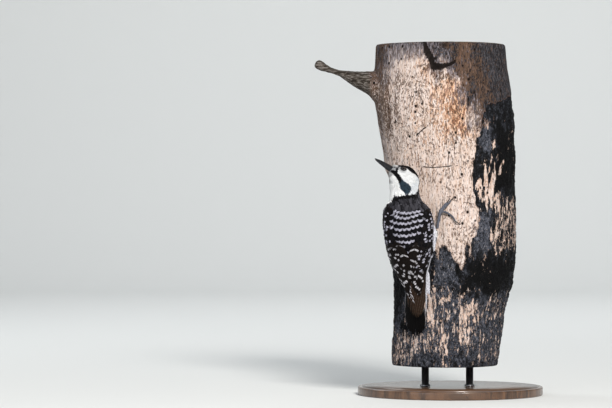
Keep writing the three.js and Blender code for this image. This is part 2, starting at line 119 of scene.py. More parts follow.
def bird_axes() -> Axes:
    """The bird's axes in the frame: it stands off the trunk's left front, turned a little to it.

    Returns:
        The axes.
    """
    turn = math.radians(-14)
    basis = [[math.cos(turn), -math.sin(turn), 0], [math.sin(turn), math.cos(turn), 0], [0, 0, 1]]
    return Axes(np.array([-48.3, -90.0, 0.0]), np.array(basis))


def head_axes() -> Axes:
    """The head's axes in the bird's: forward along the bill, to its left, and up to the crown.

    Returns:
        The axes.
    """
    turn, lift, roll = math.radians(119), math.radians(37), math.radians(22)
    ahead = np.array([-math.sin(turn) * math.cos(lift), math.cos(turn) * math.cos(lift), math.sin(lift)])
    level = unit(np.cross([0, 0, 1], ahead))
    top = np.cross(ahead, level)
    crown = top * math.cos(roll) + np.cross(ahead, top) * math.sin(roll)
    return Axes(np.array([-4.7, -3.0, 232.8]), np.stack([ahead, np.cross(crown, ahead), crown], axis=1))


BIRD = bird_axes()
HEAD = head_axes()
EYE_AT = np.array([7.2, 8.6, 3.2])
EYE_RADIUS = 2.8
BILL_BASE = 11.5


class Grain:
    """Seeded lattice noise that shapes surfaces the same way on each run."""

    cells = 32
    offset = 7.3

    def __init__(self, seed: int) -> None:
        """Fills the lattice that the seed names.

        Args:
            seed: the seed.
        """
        rng = np.random.default_rng(seed)
        self.table = rng.random((self.cells,) * 3)
        self.jitter = rng.random((self.cells,) * 3 + (3,))

    def value(self, points: Array) -> Array:
        """Smooth noise from 0 to 1 with features one unit across.

        Args:
            points: where.

        Returns:
            The noise at each point.
        """
        cell = np.floor(points).astype(int)
        part = ease(points - cell, 0, 1)
        total = np.zeros(len(points))
        for corner in range(8):
            step = np.array([corner & 1, corner >> 1 & 1, corner >> 2 & 1])
            weight = np.prod(np.where(step, part, 1 - part), axis=1)
            total += weight * self.table[tuple((cell + step).T % self.cells)]
        return total

    def rough(self, points: Array, size: float | Triple, shift: float = 0.0, count: int = 3) -> Array:
        """Octaves of noise about 0, from -0.5 to 0.5.

        Args:
            points: where.
            size: how large its largest features are, in millimetres.
            shift: sets one pattern off from another.
            count: how many octaves.

        Returns:
            The noise at each point.
        """
        points = points / np.array(size) + shift
        total = np.zeros(len(points))
        for octave in range(count):
            total += self.value(points * 2**octave + octave * self.offset) / 2 ** (octave + 1)
        return total / (1 - 0.5**count) - 0.5

    def cracks(self, points: Array) -> Array:
        """How far each point is from the border of its cell, 0 on a crack.

        Args:
            points: where, with cells one unit across.

        Returns:
            The gap at each point.
        """
        cell = np.floor(points).astype(int)
        gaps = []
        for corner in range(27):
            index = cell + np.array([corner % 3 - 1, corner // 3 % 3 - 1, corner // 9 - 1])
            gaps.append(np.linalg.norm(points - index - self.jitter[tuple(index.T % self.cells)], axis=1))
        near, second = np.sort(gaps, axis=0)[:2]
        return second - near


# ---- meshes


@dataclass
class Shell:
    """Points in the bird's axes in millimetres, and faces of their indices."""

    points: Array
    faces: Array

    def normals(self) -> Array:
        """The smooth normal at each point of a shell of triangles.

        Returns:
            A row of three for each point.
        """
        corners = self.points[self.faces]
        flat = np.cross(corners[:, 1] - corners[:, 0], corners[:, 2] - corners[:, 0])
        total = np.zeros_like(self.points)
        for side in range(3):
            np.add.at(total, self.faces[:, side], flat)
        return unit(total)

    def swollen(self, amount: Array | float) -> "Shell":
        """The shell with its points moved out along their normals."""
        return Shell(self.points + self.normals() * amount, self.faces)

    def smoothed(self, rounds: int, weight: Array | float = 1.0) -> "Shell":
        """The shell with its points drawn towards their neighbours.

        Args:
            rounds: how many times.
            weight: how far each point may move, 0 to 1.

        Returns:
            A new shell with the same faces.
        """
        one, two = self.faces.T.ravel(), np.roll(self.faces, -1, axis=1).T.ravel()
        points = self.points.copy()
        count = np.maximum(np.bincount(one, minlength=len(points)), 1)[:, None]
        share = np.asarray(weight, dtype=float).reshape(-1, 1)
        for _ in range(rounds):
            total = np.stack([np.bincount(one, points[two, axis], len(points)) for axis in range(3)], axis=1)
            points += (total / count - points) * 0.5 * share
        return Shell(points, self.faces)

    def tree(self) -> BVHTree:
        """A search tree over the faces."""
        return BVHTree.FromPolygons(self.points.tolist(), self.faces.tolist())


def to_frame(points: Array) -> Array:
    """Bird axes in millimetres to the frame in metres."""
    return BIRD.outward(points) / METRE


def make_piece(name: str, points: Array, faces: Iterable[Sequence[int]]) -> Piece:
    """A smooth mesh object at the origin whose place is in its mesh.

    Args:
        name: the piece's name.
        points: its points in the frame, in metres.
        faces: its faces.

    Returns:
        The object, linked to the scene.
    """
    mesh = bpy.data.meshes.new(name)
    mesh.from_pydata(np.asarray(points).tolist(), [], [tuple(face) for face in faces])
    mesh.validate()
    mesh.shade_smooth()
    made = bpy.data.objects.new(name, mesh)
    bpy.context.collection.objects.link(made)
    return made


def give(mesh: bpy.types.Mesh, **stored: Array) -> None:
    """Stores numbers or vectors on the points of a mesh, each under its name.

    Args:
        mesh: the mesh.
        stored: a number or a row of three for each point, by name.
    """
    for name, values in stored.items():
        flat = np.asarray(values, dtype=np.float32)
        kind, key = ("FLOAT_VECTOR", "vector") if flat.ndim == 2 else ("FLOAT", "value")
        mesh.attributes.new(name, kind, "POINT").data.foreach_set(key, flat.ravel())


def finish_piece(made: Piece, slot: str, material: Material | None, *nodes: str) -> None:
    """Dresses a piece, rides it on the body and hides the nodes of the frame it stands for.

    Args:
        made: the piece.
        slot: the record's material slot; not used.
        material: its finish, or None where the mesh already has it.
        nodes: the nodes it replaces.
    """
    if material is not None:
        made.data.materials.clear()
        made.data.materials.append(material)
    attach(made, BODY)
    if nodes:
        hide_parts(*nodes)
    log.info("%s: %d faces", made.name, len(made.data.polygons))


def read_mesh(mesh: bpy.types.Mesh) -> Shell:
    """A mesh in metres as a shell of triangles in millimetres, in the same axes.

    Args:
        mesh: the mesh.

    Returns:
        The shell.
    """
    mesh.calc_loop_triangles()
    points = np.empty(len(mesh.vertices) * 3)
    mesh.vertices.foreach_get("co", points)
    faces = np.empty(len(mesh.loop_triangles) * 3, dtype=np.int64)
    mesh.loop_triangles.foreach_get("vertices", faces)
    return Shell(points.reshape(-1, 3) * METRE, faces.reshape(-1, 3))


def evaluated(made: Piece) -> bpy.types.Mesh:
    """A plain mesh of what an object's modifiers make of it."""
    return bpy.data.meshes.new_from_object(made.evaluated_get(bpy.context.evaluated_depsgraph_get()))


def frame_shell(node: str) -> Shell:
    """A merged copy of a node of the frame, in the frame's axes.

    Args:
        node: the node's name.

    Returns:
        The shell.
    """
    shell = read_mesh(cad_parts[node].data)
    _, first, index = np.unique(np.round(shell.points, 3), axis=0, return_index=True, return_inverse=True)
    faces = index.ravel()[shell.faces]
    keep = (faces != np.roll(faces, 1, axis=1)).all(axis=1)
    return Shell(shell.points[first], faces[keep])


def bird_shell(node: str) -> Shell:
    """A merged copy of a node of the frame, in the bird's axes."""
    shell = frame_shell(node)
    return Shell(BIRD.inward(shell.points), shell.faces)


def remeshed(shells: Sequence[Shell], size: float, name: str) -> Shell:
    """One closed shell round all the given ones.

    Args:
        shells: closed shells of triangles that may overlap.
        size: the length of the new faces in millimetres.
        name: a name for the scratch mesh.

    Returns:
        The new shell of triangles.
    """
    offsets = np.cumsum([0] + [len(shell.points) for shell in shells])
    faces = np.concatenate([shell.faces + offset for shell, offset in zip(shells, offsets)])
    scratch = make_piece(name, np.concatenate([shell.points for shell in shells]) / METRE, faces.tolist())
    step = scratch.modifiers.new("closed", "REMESH")
    step.mode = "VOXEL"
    step.voxel_size = size / METRE
    done = evaluated(scratch)
    shell = read_mesh(done)
    bpy.data.objects.remove(scratch)
    bpy.data.meshes.remove(done)
    return shell


def loft(rings: Array | list[Array]) -> tuple[Array, Faces]:
    """A closed solid through rings of points, its ends closed by a middle point and a fan.

    Args:
        rings: rings, points round each ring, and x, y, z; anticlockwise seen from the far end.

    Returns:
        The points and the faces.
    """
    rings = np.array(rings)
    count, sides = rings.shape[:2]
    near, far, last = count * sides, count * sides + 1, (count - 1) * sides
    faces: Faces = []
    for low in range(0, last, sides):
        for side in range(sides):
            a, b = low + side, low + (side + 1) % sides
            faces.append((a, b, b + sides, a + sides))
    points = np.concatenate([rings.reshape(-1, 3), rings[:1].mean(axis=1), rings[-1:].mean(axis=1)])
    faces += [(near, (side + 1) % sides, side) for side in range(sides)]
    faces += [(far, last + side, last + (side + 1) % sides) for side in range(sides)]
    return points, faces


def turned(profile: Rows, centre: Array, axes: Sequence[Array], sides: int) -> tuple[Array, Faces]:
    """A closed solid turned round an axis.

    Args:
        profile: distance from the axis and height along it, from one end to the other.
        centre: the axis' zero.
        axes: two directions across the axis, and the axis.
        sides: how many points go round.

    Returns:
        The points and the faces.
    """
    spin = np.linspace(0, 2 * math.pi, sides, endpoint=False)[:, None]
    across = np.cos(spin) * axes[0] + np.sin(spin) * axes[1]
    return loft([centre + axes[2] * high + out * across for out, high in profile])


def flipped(faces: Faces) -> Faces:
    """Faces that look the other way."""
    return [tuple(reversed(face)) for face in faces]


# ---- node trees


def maths(operation: str, first: bool = True) -> Callable[..., "Signal"]:
    """A method that adds one Math node.

    Args:
        operation: the node's operation.
        first: whether the number it is called on comes first.

    Returns:
        The method.
    """

    def apply(self: "Signal", *others: "Signal | float") -> "Signal":
        """The node's result.

        Args:
            others: the other numbers.

        Returns:
            The node's result.
        """
        terms = (self, *others) if first else (*others, self)
        node = self.desk.node("ShaderNodeMath", {"operation": operation}, dict(enumerate(terms)))
        return Signal(self.desk, node.outputs[0])

    return apply


class Signal:
    """A number carried by a node's socket; arithmetic on it adds Math nodes."""

    __add__ = __radd__ = maths("ADD")
    __mul__ = __rmul__ = maths("MULTIPLY")
    __sub__ = maths("SUBTRACT")
    __rsub__ = maths("SUBTRACT", first=False)
    __truediv__ = maths("DIVIDE")
    __pow__ = maths("POWER")
    __abs__ = maths("ABSOLUTE")
    most = maths("MAXIMUM")
    sine = maths("SINE")
    floor = maths("FLOOR")
    fraction = maths("FRACT")

    def __init__(self, desk: "Desk", socket: Socket) -> None:
        """Wraps an output of one of the desk's nodes."""
        self.desk = desk
        self.socket = socket

    def step(self, low: float, high: float) -> "Signal":
        """A smooth step from 0 at low to 1 at high; it falls instead where low is the larger.

        Args:
            low: where it is 0.
            high: where it is 1.

        Returns:
            The step.
        """
        start, end = (0.0, 1.0) if low < high else (1.0, 0.0)
        values = {0: self, 1: min(low, high), 2: max(low, high), 3: start, 4: end}
        node = self.desk.node("ShaderNodeMapRange", {"interpolation_type": "SMOOTHSTEP"}, values)
        return Signal(self.desk, node.outputs[0])

    def band(self, middle: float, half: float, soft: float) -> "Signal":
        """1 within half of middle, and 0 beyond a soft edge."""
        return abs(self - middle).step(half + soft, half)


class Desk:
    """Fills one node tree: every node comes from its node method."""

    def __init__(self, tree: bpy.types.NodeTree) -> None:
        """Takes the tree."""
        self.tree = tree

    def node(self, kind: str, settings: Settings, values: Values) -> bpy.types.Node:
        """Adds a node.

        Args:
            kind: the node's type.
            settings: its properties, set first.
            values: its sockets by name or place: numbers, colours, sockets or signals.

        Returns:
            The node.
        """
        made = self.tree.nodes.new(kind)
        for key, value in settings.items():
            setattr(made, key, value)
        for key, value in values.items():
            self.feed(made.inputs[key], value)
        return made

    def feed(self, socket: Socket, value: object) -> None:
        """Links or sets one socket.

        Args:
            socket: the input.
            value: a number, a colour, a socket or a signal.
        """
        value = value.socket if isinstance(value, Signal) else value
        if isinstance(value, bpy.types.NodeSocket):
            self.tree.links.new(value, socket)
        elif isinstance(value, tuple) and len(socket.default_value) == 4:
            socket.default_value = (*value, 1.0)
        else:
            socket.default_value = value


class ShaderDesk(Desk):
    """Makes one material."""

    def __init__(self, name: str, **constants: float) -> None:
        """Starts a material.

        Args:
            name: its name.
            constants: plain values of the shader's own sockets, whose names have _ for a space.
        """
        self.material = bpy.data.materials.new(name)
        self.material.use_nodes = True
        super().__init__(self.material.node_tree)
        self.tree.nodes.clear()
        self.shader = self.node("ShaderNodeBsdfPrincipled", {}, {})
        self.node("ShaderNodeOutputMaterial", {}, {"Surface": self.shader.outputs[0]})
        self.done(**constants)

    def attribute(self, name: str) -> Signal:
        """A number stored on the mesh."""
        return Signal(self, self.node("ShaderNodeAttribute", {"attribute_name": name}, {}).outputs["Fac"])

    def spot(self, size: float | Triple, centre: Triple = (0.0, 0.0, 0.0)) -> Socket:
        """Object coordinates in millimetres from a centre, each divided by a length.

        Args:
            size: one length for all three, or three.
            centre: where it is 0, in millimetres.

        Returns:
            The coordinates.
        """
        lengths = (size,) * 3 if isinstance(size, float) else size
        place = self.node("ShaderNodeTexCoord", {}, {}).outputs["Object"]
        factor = tuple(METRE / length for length in lengths)
        start = tuple(-middle / length for middle, length in zip(centre, lengths))
        values = {"Vector": place, "Scale": factor, "Location": start}
        return self.node("ShaderNodeMapping", {}, values).outputs[0]

    def noise(
        self, size: float | Triple, detail: float = 3.0, rough: float = 0.5, twist: float = 0.0,
        centre: Triple = (0.0, 0.0, 0.0),
    ) -> Signal:
        """Noise from 0 to 1.

        Args:
            size: how large its features are, in millimetres.
            detail: its octaves.
            rough: how strong they are.
            twist: how far it is bent.
            centre: sets one pattern off from another.

        Returns:
            The noise.
        """
        values = {"Vector": self.spot(size, centre), "Scale": 1.0, "Detail": detail, "Roughness": rough}
        made = self.node("ShaderNodeTexNoise", {}, {**values, "Distortion": twist})
        return Signal(self, made.outputs["Fac"])

    def warped(self, size: Triple, amount: float) -> Socket:
        """Object coordinates as spot gives them, bent by a slow noise.

        Args:
            size: a length for each axis, in millimetres.
            amount: how far it is bent.

        Returns:
            The coordinates.
        """
        values = {"Vector": self.spot((5.0, 5.0, 8.0)), "Scale": 1.0, "Detail": 2.0}
        slow = self.node("ShaderNodeTexNoise", {}, values).outputs["Color"]
        values = {0: slow, 1: (amount,) * 3, 2: self.spot(size)}
        return self.node("ShaderNodeVectorMath", {"operation": "MULTIPLY_ADD"}, values).outputs["Vector"]

    def cells(self, vector: Socket, feature: str = "F1") -> tuple[Signal, Socket]:
        """A pattern of cells.

        Args:
            vector: its coordinates, with cells one unit across.
            feature: what its distance is measured to.

        Returns:
            The distance, and a colour for each cell.
        """
        values = {"Vector": vector, "Scale": 1.0}
        outputs = self.node("ShaderNodeTexVoronoi", {"feature": feature}, values).outputs
        return Signal(self, outputs[0]), outputs[1]

    def ramp(self, factor: Signal, *stops: tuple[float, Colour]) -> Socket:
        """A colour for a number, through stops.

        Args:
            factor: the number.
            stops: places and their colours, in order.

        Returns:
            The colour.
        """
        made = self.node("ShaderNodeValToRGB", {}, {0: factor})
        for _ in stops[2:]:
            made.color_ramp.elements.new(1.0)
        for element, (place, colour) in zip(made.color_ramp.elements, stops):
            element.position = place
            element.color = (*colour, 1.0)
        return made.outputs[0]

    def over(self, ground: object, *layers: tuple[Signal, object]) -> Socket:
        """Lays colours over a ground.

        Args:
            ground: a colour or its socket.
            layers: each a mask and a colour, laid in turn.

        Returns:
            The colour.
        """
        settings = {"data_type": "RGBA", "blend_type": "MIX", "clamp_factor": True}
        for mask, colour in layers:
            ground = self.node("ShaderNodeMix", settings, {0: mask, 6: ground, 7: colour}).outputs[2]
        return ground

    def bump(self, height: Signal, distance: float, strength: float) -> Socket:
        """A normal from a height; distance is how many metres a height of 1 stands."""
        values = {"Strength": strength, "Distance": distance, "Height": height}
        return self.node("ShaderNodeBump", {}, values).outputs[0]

    def done(self, **sockets: object) -> Material:
        """Feeds the shader's sockets, whose names have _ for a space, and hands over the material.

        Args:
            sockets: numbers, colours or links by socket.

        Returns:
            The material.
        """
        for key, value in sockets.items():
            self.feed(self.shader.inputs[key.replace("_", " ")], value)
        return self.material


# ---- markings


def folded(points: Array) -> Array:
    """Points in the head's axes with both sides laid over its left."""
    return HEAD.inward(points) * (1, 0, 1) + np.abs(HEAD.inward(points)) * (0, 1, 0)


def eye_gap(points: Array) -> Array:
    """How far points lie outside the nearer eyeball, in millimetres."""
    return np.linalg.norm(folded(points) - EYE_AT, axis=1) - EYE_RADIUS


def chain_gap(points: Array, line: Rows) -> Array:
    """How far points lie outside a chain of rounded segments.

    Args:
        points: points in any axes.
        line: the chain's corners and radii, in the same axes.

    Returns:
        The gap in millimetres, negative inside.
    """
    gaps = []
    for one, two in zip(line[:-1], line[1:]):
        start, along = np.array(one[:3]), np.array(two[:3]) - np.array(one[:3])
        share = np.clip((points - start) @ along / (along @ along), 0, 1)
        radius = one[3] + (two[3] - one[3]) * share
        gaps.append(np.linalg.norm(points - start - share[:, None] * along, axis=1) - radius)
    return np.min(gaps, axis=0)


@dataclass(frozen=True)
class Markings:
    """Where the plumage is black, white, barred or spotted: the one map that skin and coat both read."""

    cap_edge: Rows = (
        (-22, 50), (-14, 57), (-10, 61), (-6, 66), (-2, 72), (1.5, 69), (3, 66), (4.5, 62), (6, 58), (8, 58),
        (10, 60), (12.4, 64), (14, 72), (16, 86),
    )
    moustache: Rows = (
        (16.0, 3.6, -4.2, 1.5), (13.2, 6.0, -4.8, 2.2), (9.0, 7.9, -7.2, 2.4), (4.8, 8.6, -9.6, 2.4),
        (0.9, 8.6, -11.6, 3.3), (-2.8, 8.5, -12.9, 4.5), (-6.4, 9.0, -13.2, 4.7), (-8.2, 8.4, -15.2, 3.4),
    )
    lore: Rows = (
        (13.4, 5.2, 5.6, 1.4), (13.4, 6.8, 2.4, 1.35), (13.1, 7.3, 0.2, 1.35), (12.3, 7.7, -3.4, 1.4),
    )
    collar: Rows = (
        (-180, 190), (-125, 195), (-90, 196.5), (-72, 198.5), (-62, 201), (-57, 206), (-47, 211.5),
        (-38, 213.2), (-15, 213.8), (0, 214.6), (15, 215.2), (35, 215.8), (60, 216.6), (68, 219), (82, 222),
        (95, 236), (112, 250), (150, 250), (162, 214), (180, 190),
    )
    bars: tuple[float, ...] = (197.7, 192.2, 186.0, 179.2, 172.2, 165.0)
    bar_left: Rows = ((158, 7.5), (165, 9.0), (172, 12.0), (179, 15.0), (198, 15.6))
    bar_right: Rows = ((158, 9.0), (165, 14.0), (172, 18.0), (179, 20.0), (192, 19.4), (198, 18.0))
    bar_middle: float = -3.2
    flank: float = 104.0
    nape_at: float = 122.0
    nape_half: float = 32.0

    def bearing(self, points: Array) -> Array:
        """Degrees round the body: 0 at the back, positive to the bird's right.

        Args:
            points: where.

        Returns:
            The bearing of each point.
        """
        x = through(points[:, 2], ((146, 0), (175, 0), (190, -0.5), (203, -1), (215, -3), (226, -4.7)))
        y = through(points[:, 2], ((99, 31), (121, 19.8), (146, 8), (175, 1), (203, -1), (226, 0)))
        return np.degrees(np.arctan2(points[:, 0] - x, y - points[:, 1]))

    def black(self, points: Array) -> Array:
        """How far points lie outside the black plumage.

        Args:
            points: where.

        Returns:
            The gap in millimetres, negative inside.
        """
        ahead, across, up = folded(points).T
        lean = np.degrees(np.arctan2(across, up))
        cap = np.radians(lean - through(ahead, self.cap_edge)) * np.maximum(np.hypot(across, up), 2)
        cap = np.where(ahead > -19, cap, 99)
        chains = [chain_gap(folded(points), line) for line in (self.moustache, self.lore)]
        gap = np.minimum.reduce([cap, *chains, eye_gap(points) - 0.55])
        turn, height = self.bearing(points), points[:, 2]
        nape = np.maximum((np.abs(turn - self.nape_at) - self.nape_half) * 0.24, height - 240)
        mantle = np.where((turn > 90) & (turn < 160), nape, height - through(turn, self.collar))
        torso = np.maximum(mantle, (np.abs(turn) - self.flank + 14 * ease(height, 150, 132)) * 0.36)
        return np.where(ahead > 4, gap, np.minimum(gap, torso))

    def rise(self, points: Array) -> Array:
        """How much higher a back bar runs here than at the middle of the back."""
        out = np.abs(points[:, 0] - self.bar_middle)
        return 4.2 * (np.minimum(out, 20) / 17) ** 1.6 + 1.1 * ease(out, 3.4, 0.6)

    def white(self, points: Array, seeds: Array, soft: float = 0.5) -> Array:
        """How white the plumage is, 0 to 1; dark spots lie on the flanks and under the tail.

        Args:
            points: where.
            seeds: a random number from 0 to 1 for each point, which drops the dark spots.
            soft: how wide an edge between black and white is, in millimetres.

        Returns:
            The whiteness of each point.
        """
        ahead, _, up = folded(points).T
        shade = 0.5 * ease(eye_gap(points), 3.6, 1.2) * ease(ahead - 0.55 * up, 1.2, 4.5) * (ahead > 0)
        shade = np.maximum(shade, 0.55 * ease(ahead, 12.6, 13.6) * ease(up, 4.6, 2.2))
        turn, height = np.abs(self.bearing(points)), points[:, 2]
        sides = ease(turn, 150, 122) * ease(turn, 84, 104) * ease(height, 222, 206)
        spotted = np.clip(sides + 0.7 * ease(height, 132, 118), 0, 1) * ease(height, 218, 208)
        return ease(self.black(points), -soft, soft) * (1 - shade) * (1 - 0.92 * (seeds < 0.36 * spotted))

    def barred(self, points: Array) -> Array:
        """1 where the back's bars reach, 0 beyond their ends.

        Args:
            points: where.

        Returns:
            The share at each point.
        """
        level = points[:, 2] - self.rise(points)
        out = points[:, 0] - self.bar_middle
        reach = np.where(out > 0, through(level, self.bar_right), through(level, self.bar_left))
        return ease(np.abs(out) - reach, 0.9, -0.9)

    def bar(self, points: Array) -> Array:
        """How white a bar of the back is here, for the skin between the feathers.

        Args:
            points: where.

        Returns:
            The whiteness of each point.
        """
        level = points[:, 2] - self.rise(points)
        near = np.min(np.abs(level[:, None] - np.array(self.bars)), axis=1)
        return 0.4 * ease(near, 0.9, 0.5) * self.barred(points) * (np.abs(self.bearing(points)) < 75)


MARKS = Markings()


# ---- the skin


@dataclass
class Skin:
    """One skin round the head, neck, body, thighs and shoulders, inside the solids by the coat's depth."""

    face: float = 0.62
    swell: float = 0.35
    wing_from: float = 126.0
    nodes: tuple[str, ...] = ("head", "neck", "torso", "thigh_left", "thigh_right")
    shell: Shell = field(init=False)
    normals: Array = field(init=False)
    piece: Piece = field(init=False)

    def depth(self, points: Array) -> Array:
        """How deep the coat is: thin round the bill and eyes, thicker down the neck and over the body.

        Args:
            points: where.

        Returns:
            The depth at each point, in millimetres.
        """
        ahead, height = HEAD.inward(points)[:, 0], points[:, 2]
        head = 0.15 + 0.4 * ease(eye_gap(points), 0.2, 5.2)
        head *= 0.45 + 0.55 * ease(ahead, 15.0, 9.0)
        leg = ease(points[:, 1], 13, 20) * ease(height, 150, 156) * ease(height, 186, 180)
        body = (0.55 + 0.65 * ease(height, 228, 205)) * (1 - 0.45 * leg)
        return head + (body - head) * ease(ahead, -6, -18)

    def wing_root(self, node: str) -> Shell:
        """The upper part of a folded wing, closed where it is cut.

        Args:
            node: the wing.

        Returns:
            A shell of triangles.
        """
        source = bird_shell(node)
        mesh = bmesh.new()
        corners = [mesh.verts.new(point) for point in source.points]
        for face in source.faces:
            mesh.faces.new([corners[index] for index in face])
        everything = [*mesh.verts, *mesh.edges, *mesh.faces]
        plane = {"plane_co": (0, 0, self.wing_from), "plane_no": (0, 0, 1)}
        cut = bmesh.ops.bisect_plane(mesh, geom=everything, clear_inner=True, **plane)
        edges = [item for item in cut["geom_cut"] if isinstance(item, bmesh.types.BMEdge)]
        bmesh.ops.holes_fill(mesh, edges=edges, sides=0)
        bmesh.ops.triangulate(mesh, faces=list(mesh.faces))
        mesh.verts.index_update()
        points = np.array([corner.co[:] for corner in mesh.verts])
        faces = np.array([[corner.index for corner in face.verts] for face in mesh.faces])
        mesh.free()
        return Shell(points, faces)

    def build(self, material: Material) -> None:
        """Joins the swollen solids, sinks them by the coat's depth and makes the marked piece.

        Args:
            material: the skin's finish.
        """
        parts = [bird_shell(node) for node in self.nodes]
        parts += [self.wing_root("wing_left"), self.wing_root("wing_right")]
        shell = remeshed([part.swollen(self.swell) for part in parts], self.face, "skin_scratch")
        shell = shell.smoothed(5).swollen(-self.swell).smoothed(2)
        self.shell = shell.swollen(-self.depth(shell.points)[:, None]).smoothed(1)
        self.normals = self.shell.smoothed(3).normals()
        points = self.shell.points
        self.piece = make_piece("body_skin", to_frame(points), self.shell.faces)
        white = MARKS.white(points, ease(Grain(5).value(points * 0.9), 0.2, 0.8), 0.35)
        give(self.piece.data, white=np.maximum(white, MARKS.bar(points)), out_way=BIRD.turn(self.normals))
        finish_piece(self.piece, "plumage_white", material, *self.nodes)

    def unwrap(self) -> "SkinMap":
        """Unwraps a coarser copy of the skin's own shape.

        Returns:
            The map.
        """
        coarse = remeshed([self.shell], 1.9, "map_scratch")
        made = make_piece("map_scratch", coarse.points / METRE, coarse.faces)
        bpy.ops.object.select_all(action="DESELECT")
        bpy.context.view_layer.objects.active = made
        made.select_set(True)
        bpy.ops.object.mode_set(mode="EDIT")
        bpy.ops.mesh.select_all(action="SELECT")
        bpy.ops.uv.smart_project(angle_limit=math.radians(72), island_margin=0.004)
        bpy.ops.object.mode_set(mode="OBJECT")
        flat = np.empty(len(made.data.loops) * 2)
        made.data.uv_layers.active.uv.foreach_get("vector", flat)
        bpy.data.objects.remove(made)
        return SkinMap(coarse, flat.reshape(-1, 3, 2), coarse.tree())


@dataclass
class SkinMap:
    """An unwrap of the skin's own shape, read at any point on it."""

    shell: Shell
    corners: Array
    tree: BVHTree

    def at(self, points: Array) -> Array:
        """Map places of points on or near the skin.

        Args:
            points: where.

        Returns:
            A row of two for each.
        """
        found = np.array([self.tree.find_nearest(point)[2] for point in points.tolist()])
        corners = self.shell.points[self.shell.faces[found]]
        one, two, gap = corners[:, 1] - corners[:, 0], corners[:, 2] - corners[:, 0], points - corners[:, 0]
        aa, ab, bb, ga, gb = dot(one, one), dot(one, two), dot(two, two), dot(gap, one), dot(gap, two)
        scale = np.maximum(aa * bb - ab * ab, TINY)
        second, third = (bb * ga - ab * gb) / scale, (aa * gb - ab * ga) / scale
        share = np.clip(np.concatenate([1 - second - third, second, third], axis=1), 0, 1)
        share /= share.sum(axis=1, keepdims=True)
        return (self.corners[found] * share[:, :, None]).sum(axis=1)


# ---- the coat


@dataclass
class Feathers:
    """Roots of one family of small feathers, one row for each, with what each feather is like."""

    roots: Array
    normals: Array
    lie: Array
    length: Array
    width: Array
    lift: Array
    # white: how white each feather is; the little white on the black mantle is a painted sheen.
    white: Array
    bar: Array
    spot: Array
    age: Array
    # warm: above 0 a cream or brown tint; below 0 a painted blue-grey sheen on black feathers and a painted
    # cool shade on white ones.
    warm: Array


class VaneShape(Enum):
    """The outline of a small feather: (place along it, share of its half width)."""

    ROUND = ((0.0, 0.34), (0.28, 0.78), (0.56, 1.0), (0.8, 0.86), (0.94, 0.46))
    BROAD = ((0.0, 0.4), (0.2, 0.78), (0.45, 1.0), (0.68, 1.0), (0.84, 0.84), (0.95, 0.48))
    POINTED = ((0.0, 0.4), (0.3, 0.92), (0.6, 0.9), (0.82, 0.56), (0.95, 0.22))


def vane_template(shape: VaneShape) -> Piece:
    """A thin closed feather one long and two wide, that the node tree sets over the skin.

    Args:
        shape: its outline; a broad one has a second row of points on each side of the shaft.

    Returns:
        A scratch object, not part of the model.
    """
    fine = shape is VaneShape.BROAD
    ring = [(1.0, part) for part in ((-1.0, -0.52, 0.0, 0.52, 1.0) if fine else (-1.0, 0.0, 1.0))]
    ring += [(0.0, part) for part in ((0.5, 0.0, -0.5) if fine else (0.0,))]
    points, stored = [], []
    for place, half in shape.value:
        for level, part in ring:
            thick = (0.35 if abs(part) > 0.99 else 1.0) + 0.5 * (1 - part * part)
            points.append((place - (0.05 * abs(part) if place > 0 else 0), part * half, 0.0))
            stored.append((part, place, level * thick))
    sides, tip, last = len(ring), len(points), (len(shape.value) - 1) * len(ring)
    faces = []
    for low in range(0, last, sides):
        for side in range(sides):
            a, b = low + side, low + (side + 1) % sides
            faces.append((a, b, b + sides, a + sides))
    points.append((1.0, 0.0, 0.0))
    stored.append((0.0, 1.0, 0.6))
    faces += [(tip, last + side, last + (side + 1) % sides) for side in range(sides)]
    faces.append(tuple(range(sides - 1, -1, -1)))
    made = make_piece(f"vane_{shape.name.lower()}", points, flipped(faces))
    side, along, height = np.array(stored).T
    give(made.data, vane_side=side, vane_along=along, vane_height=height)
    bpy.context.collection.objects.unlink(made)
    return made


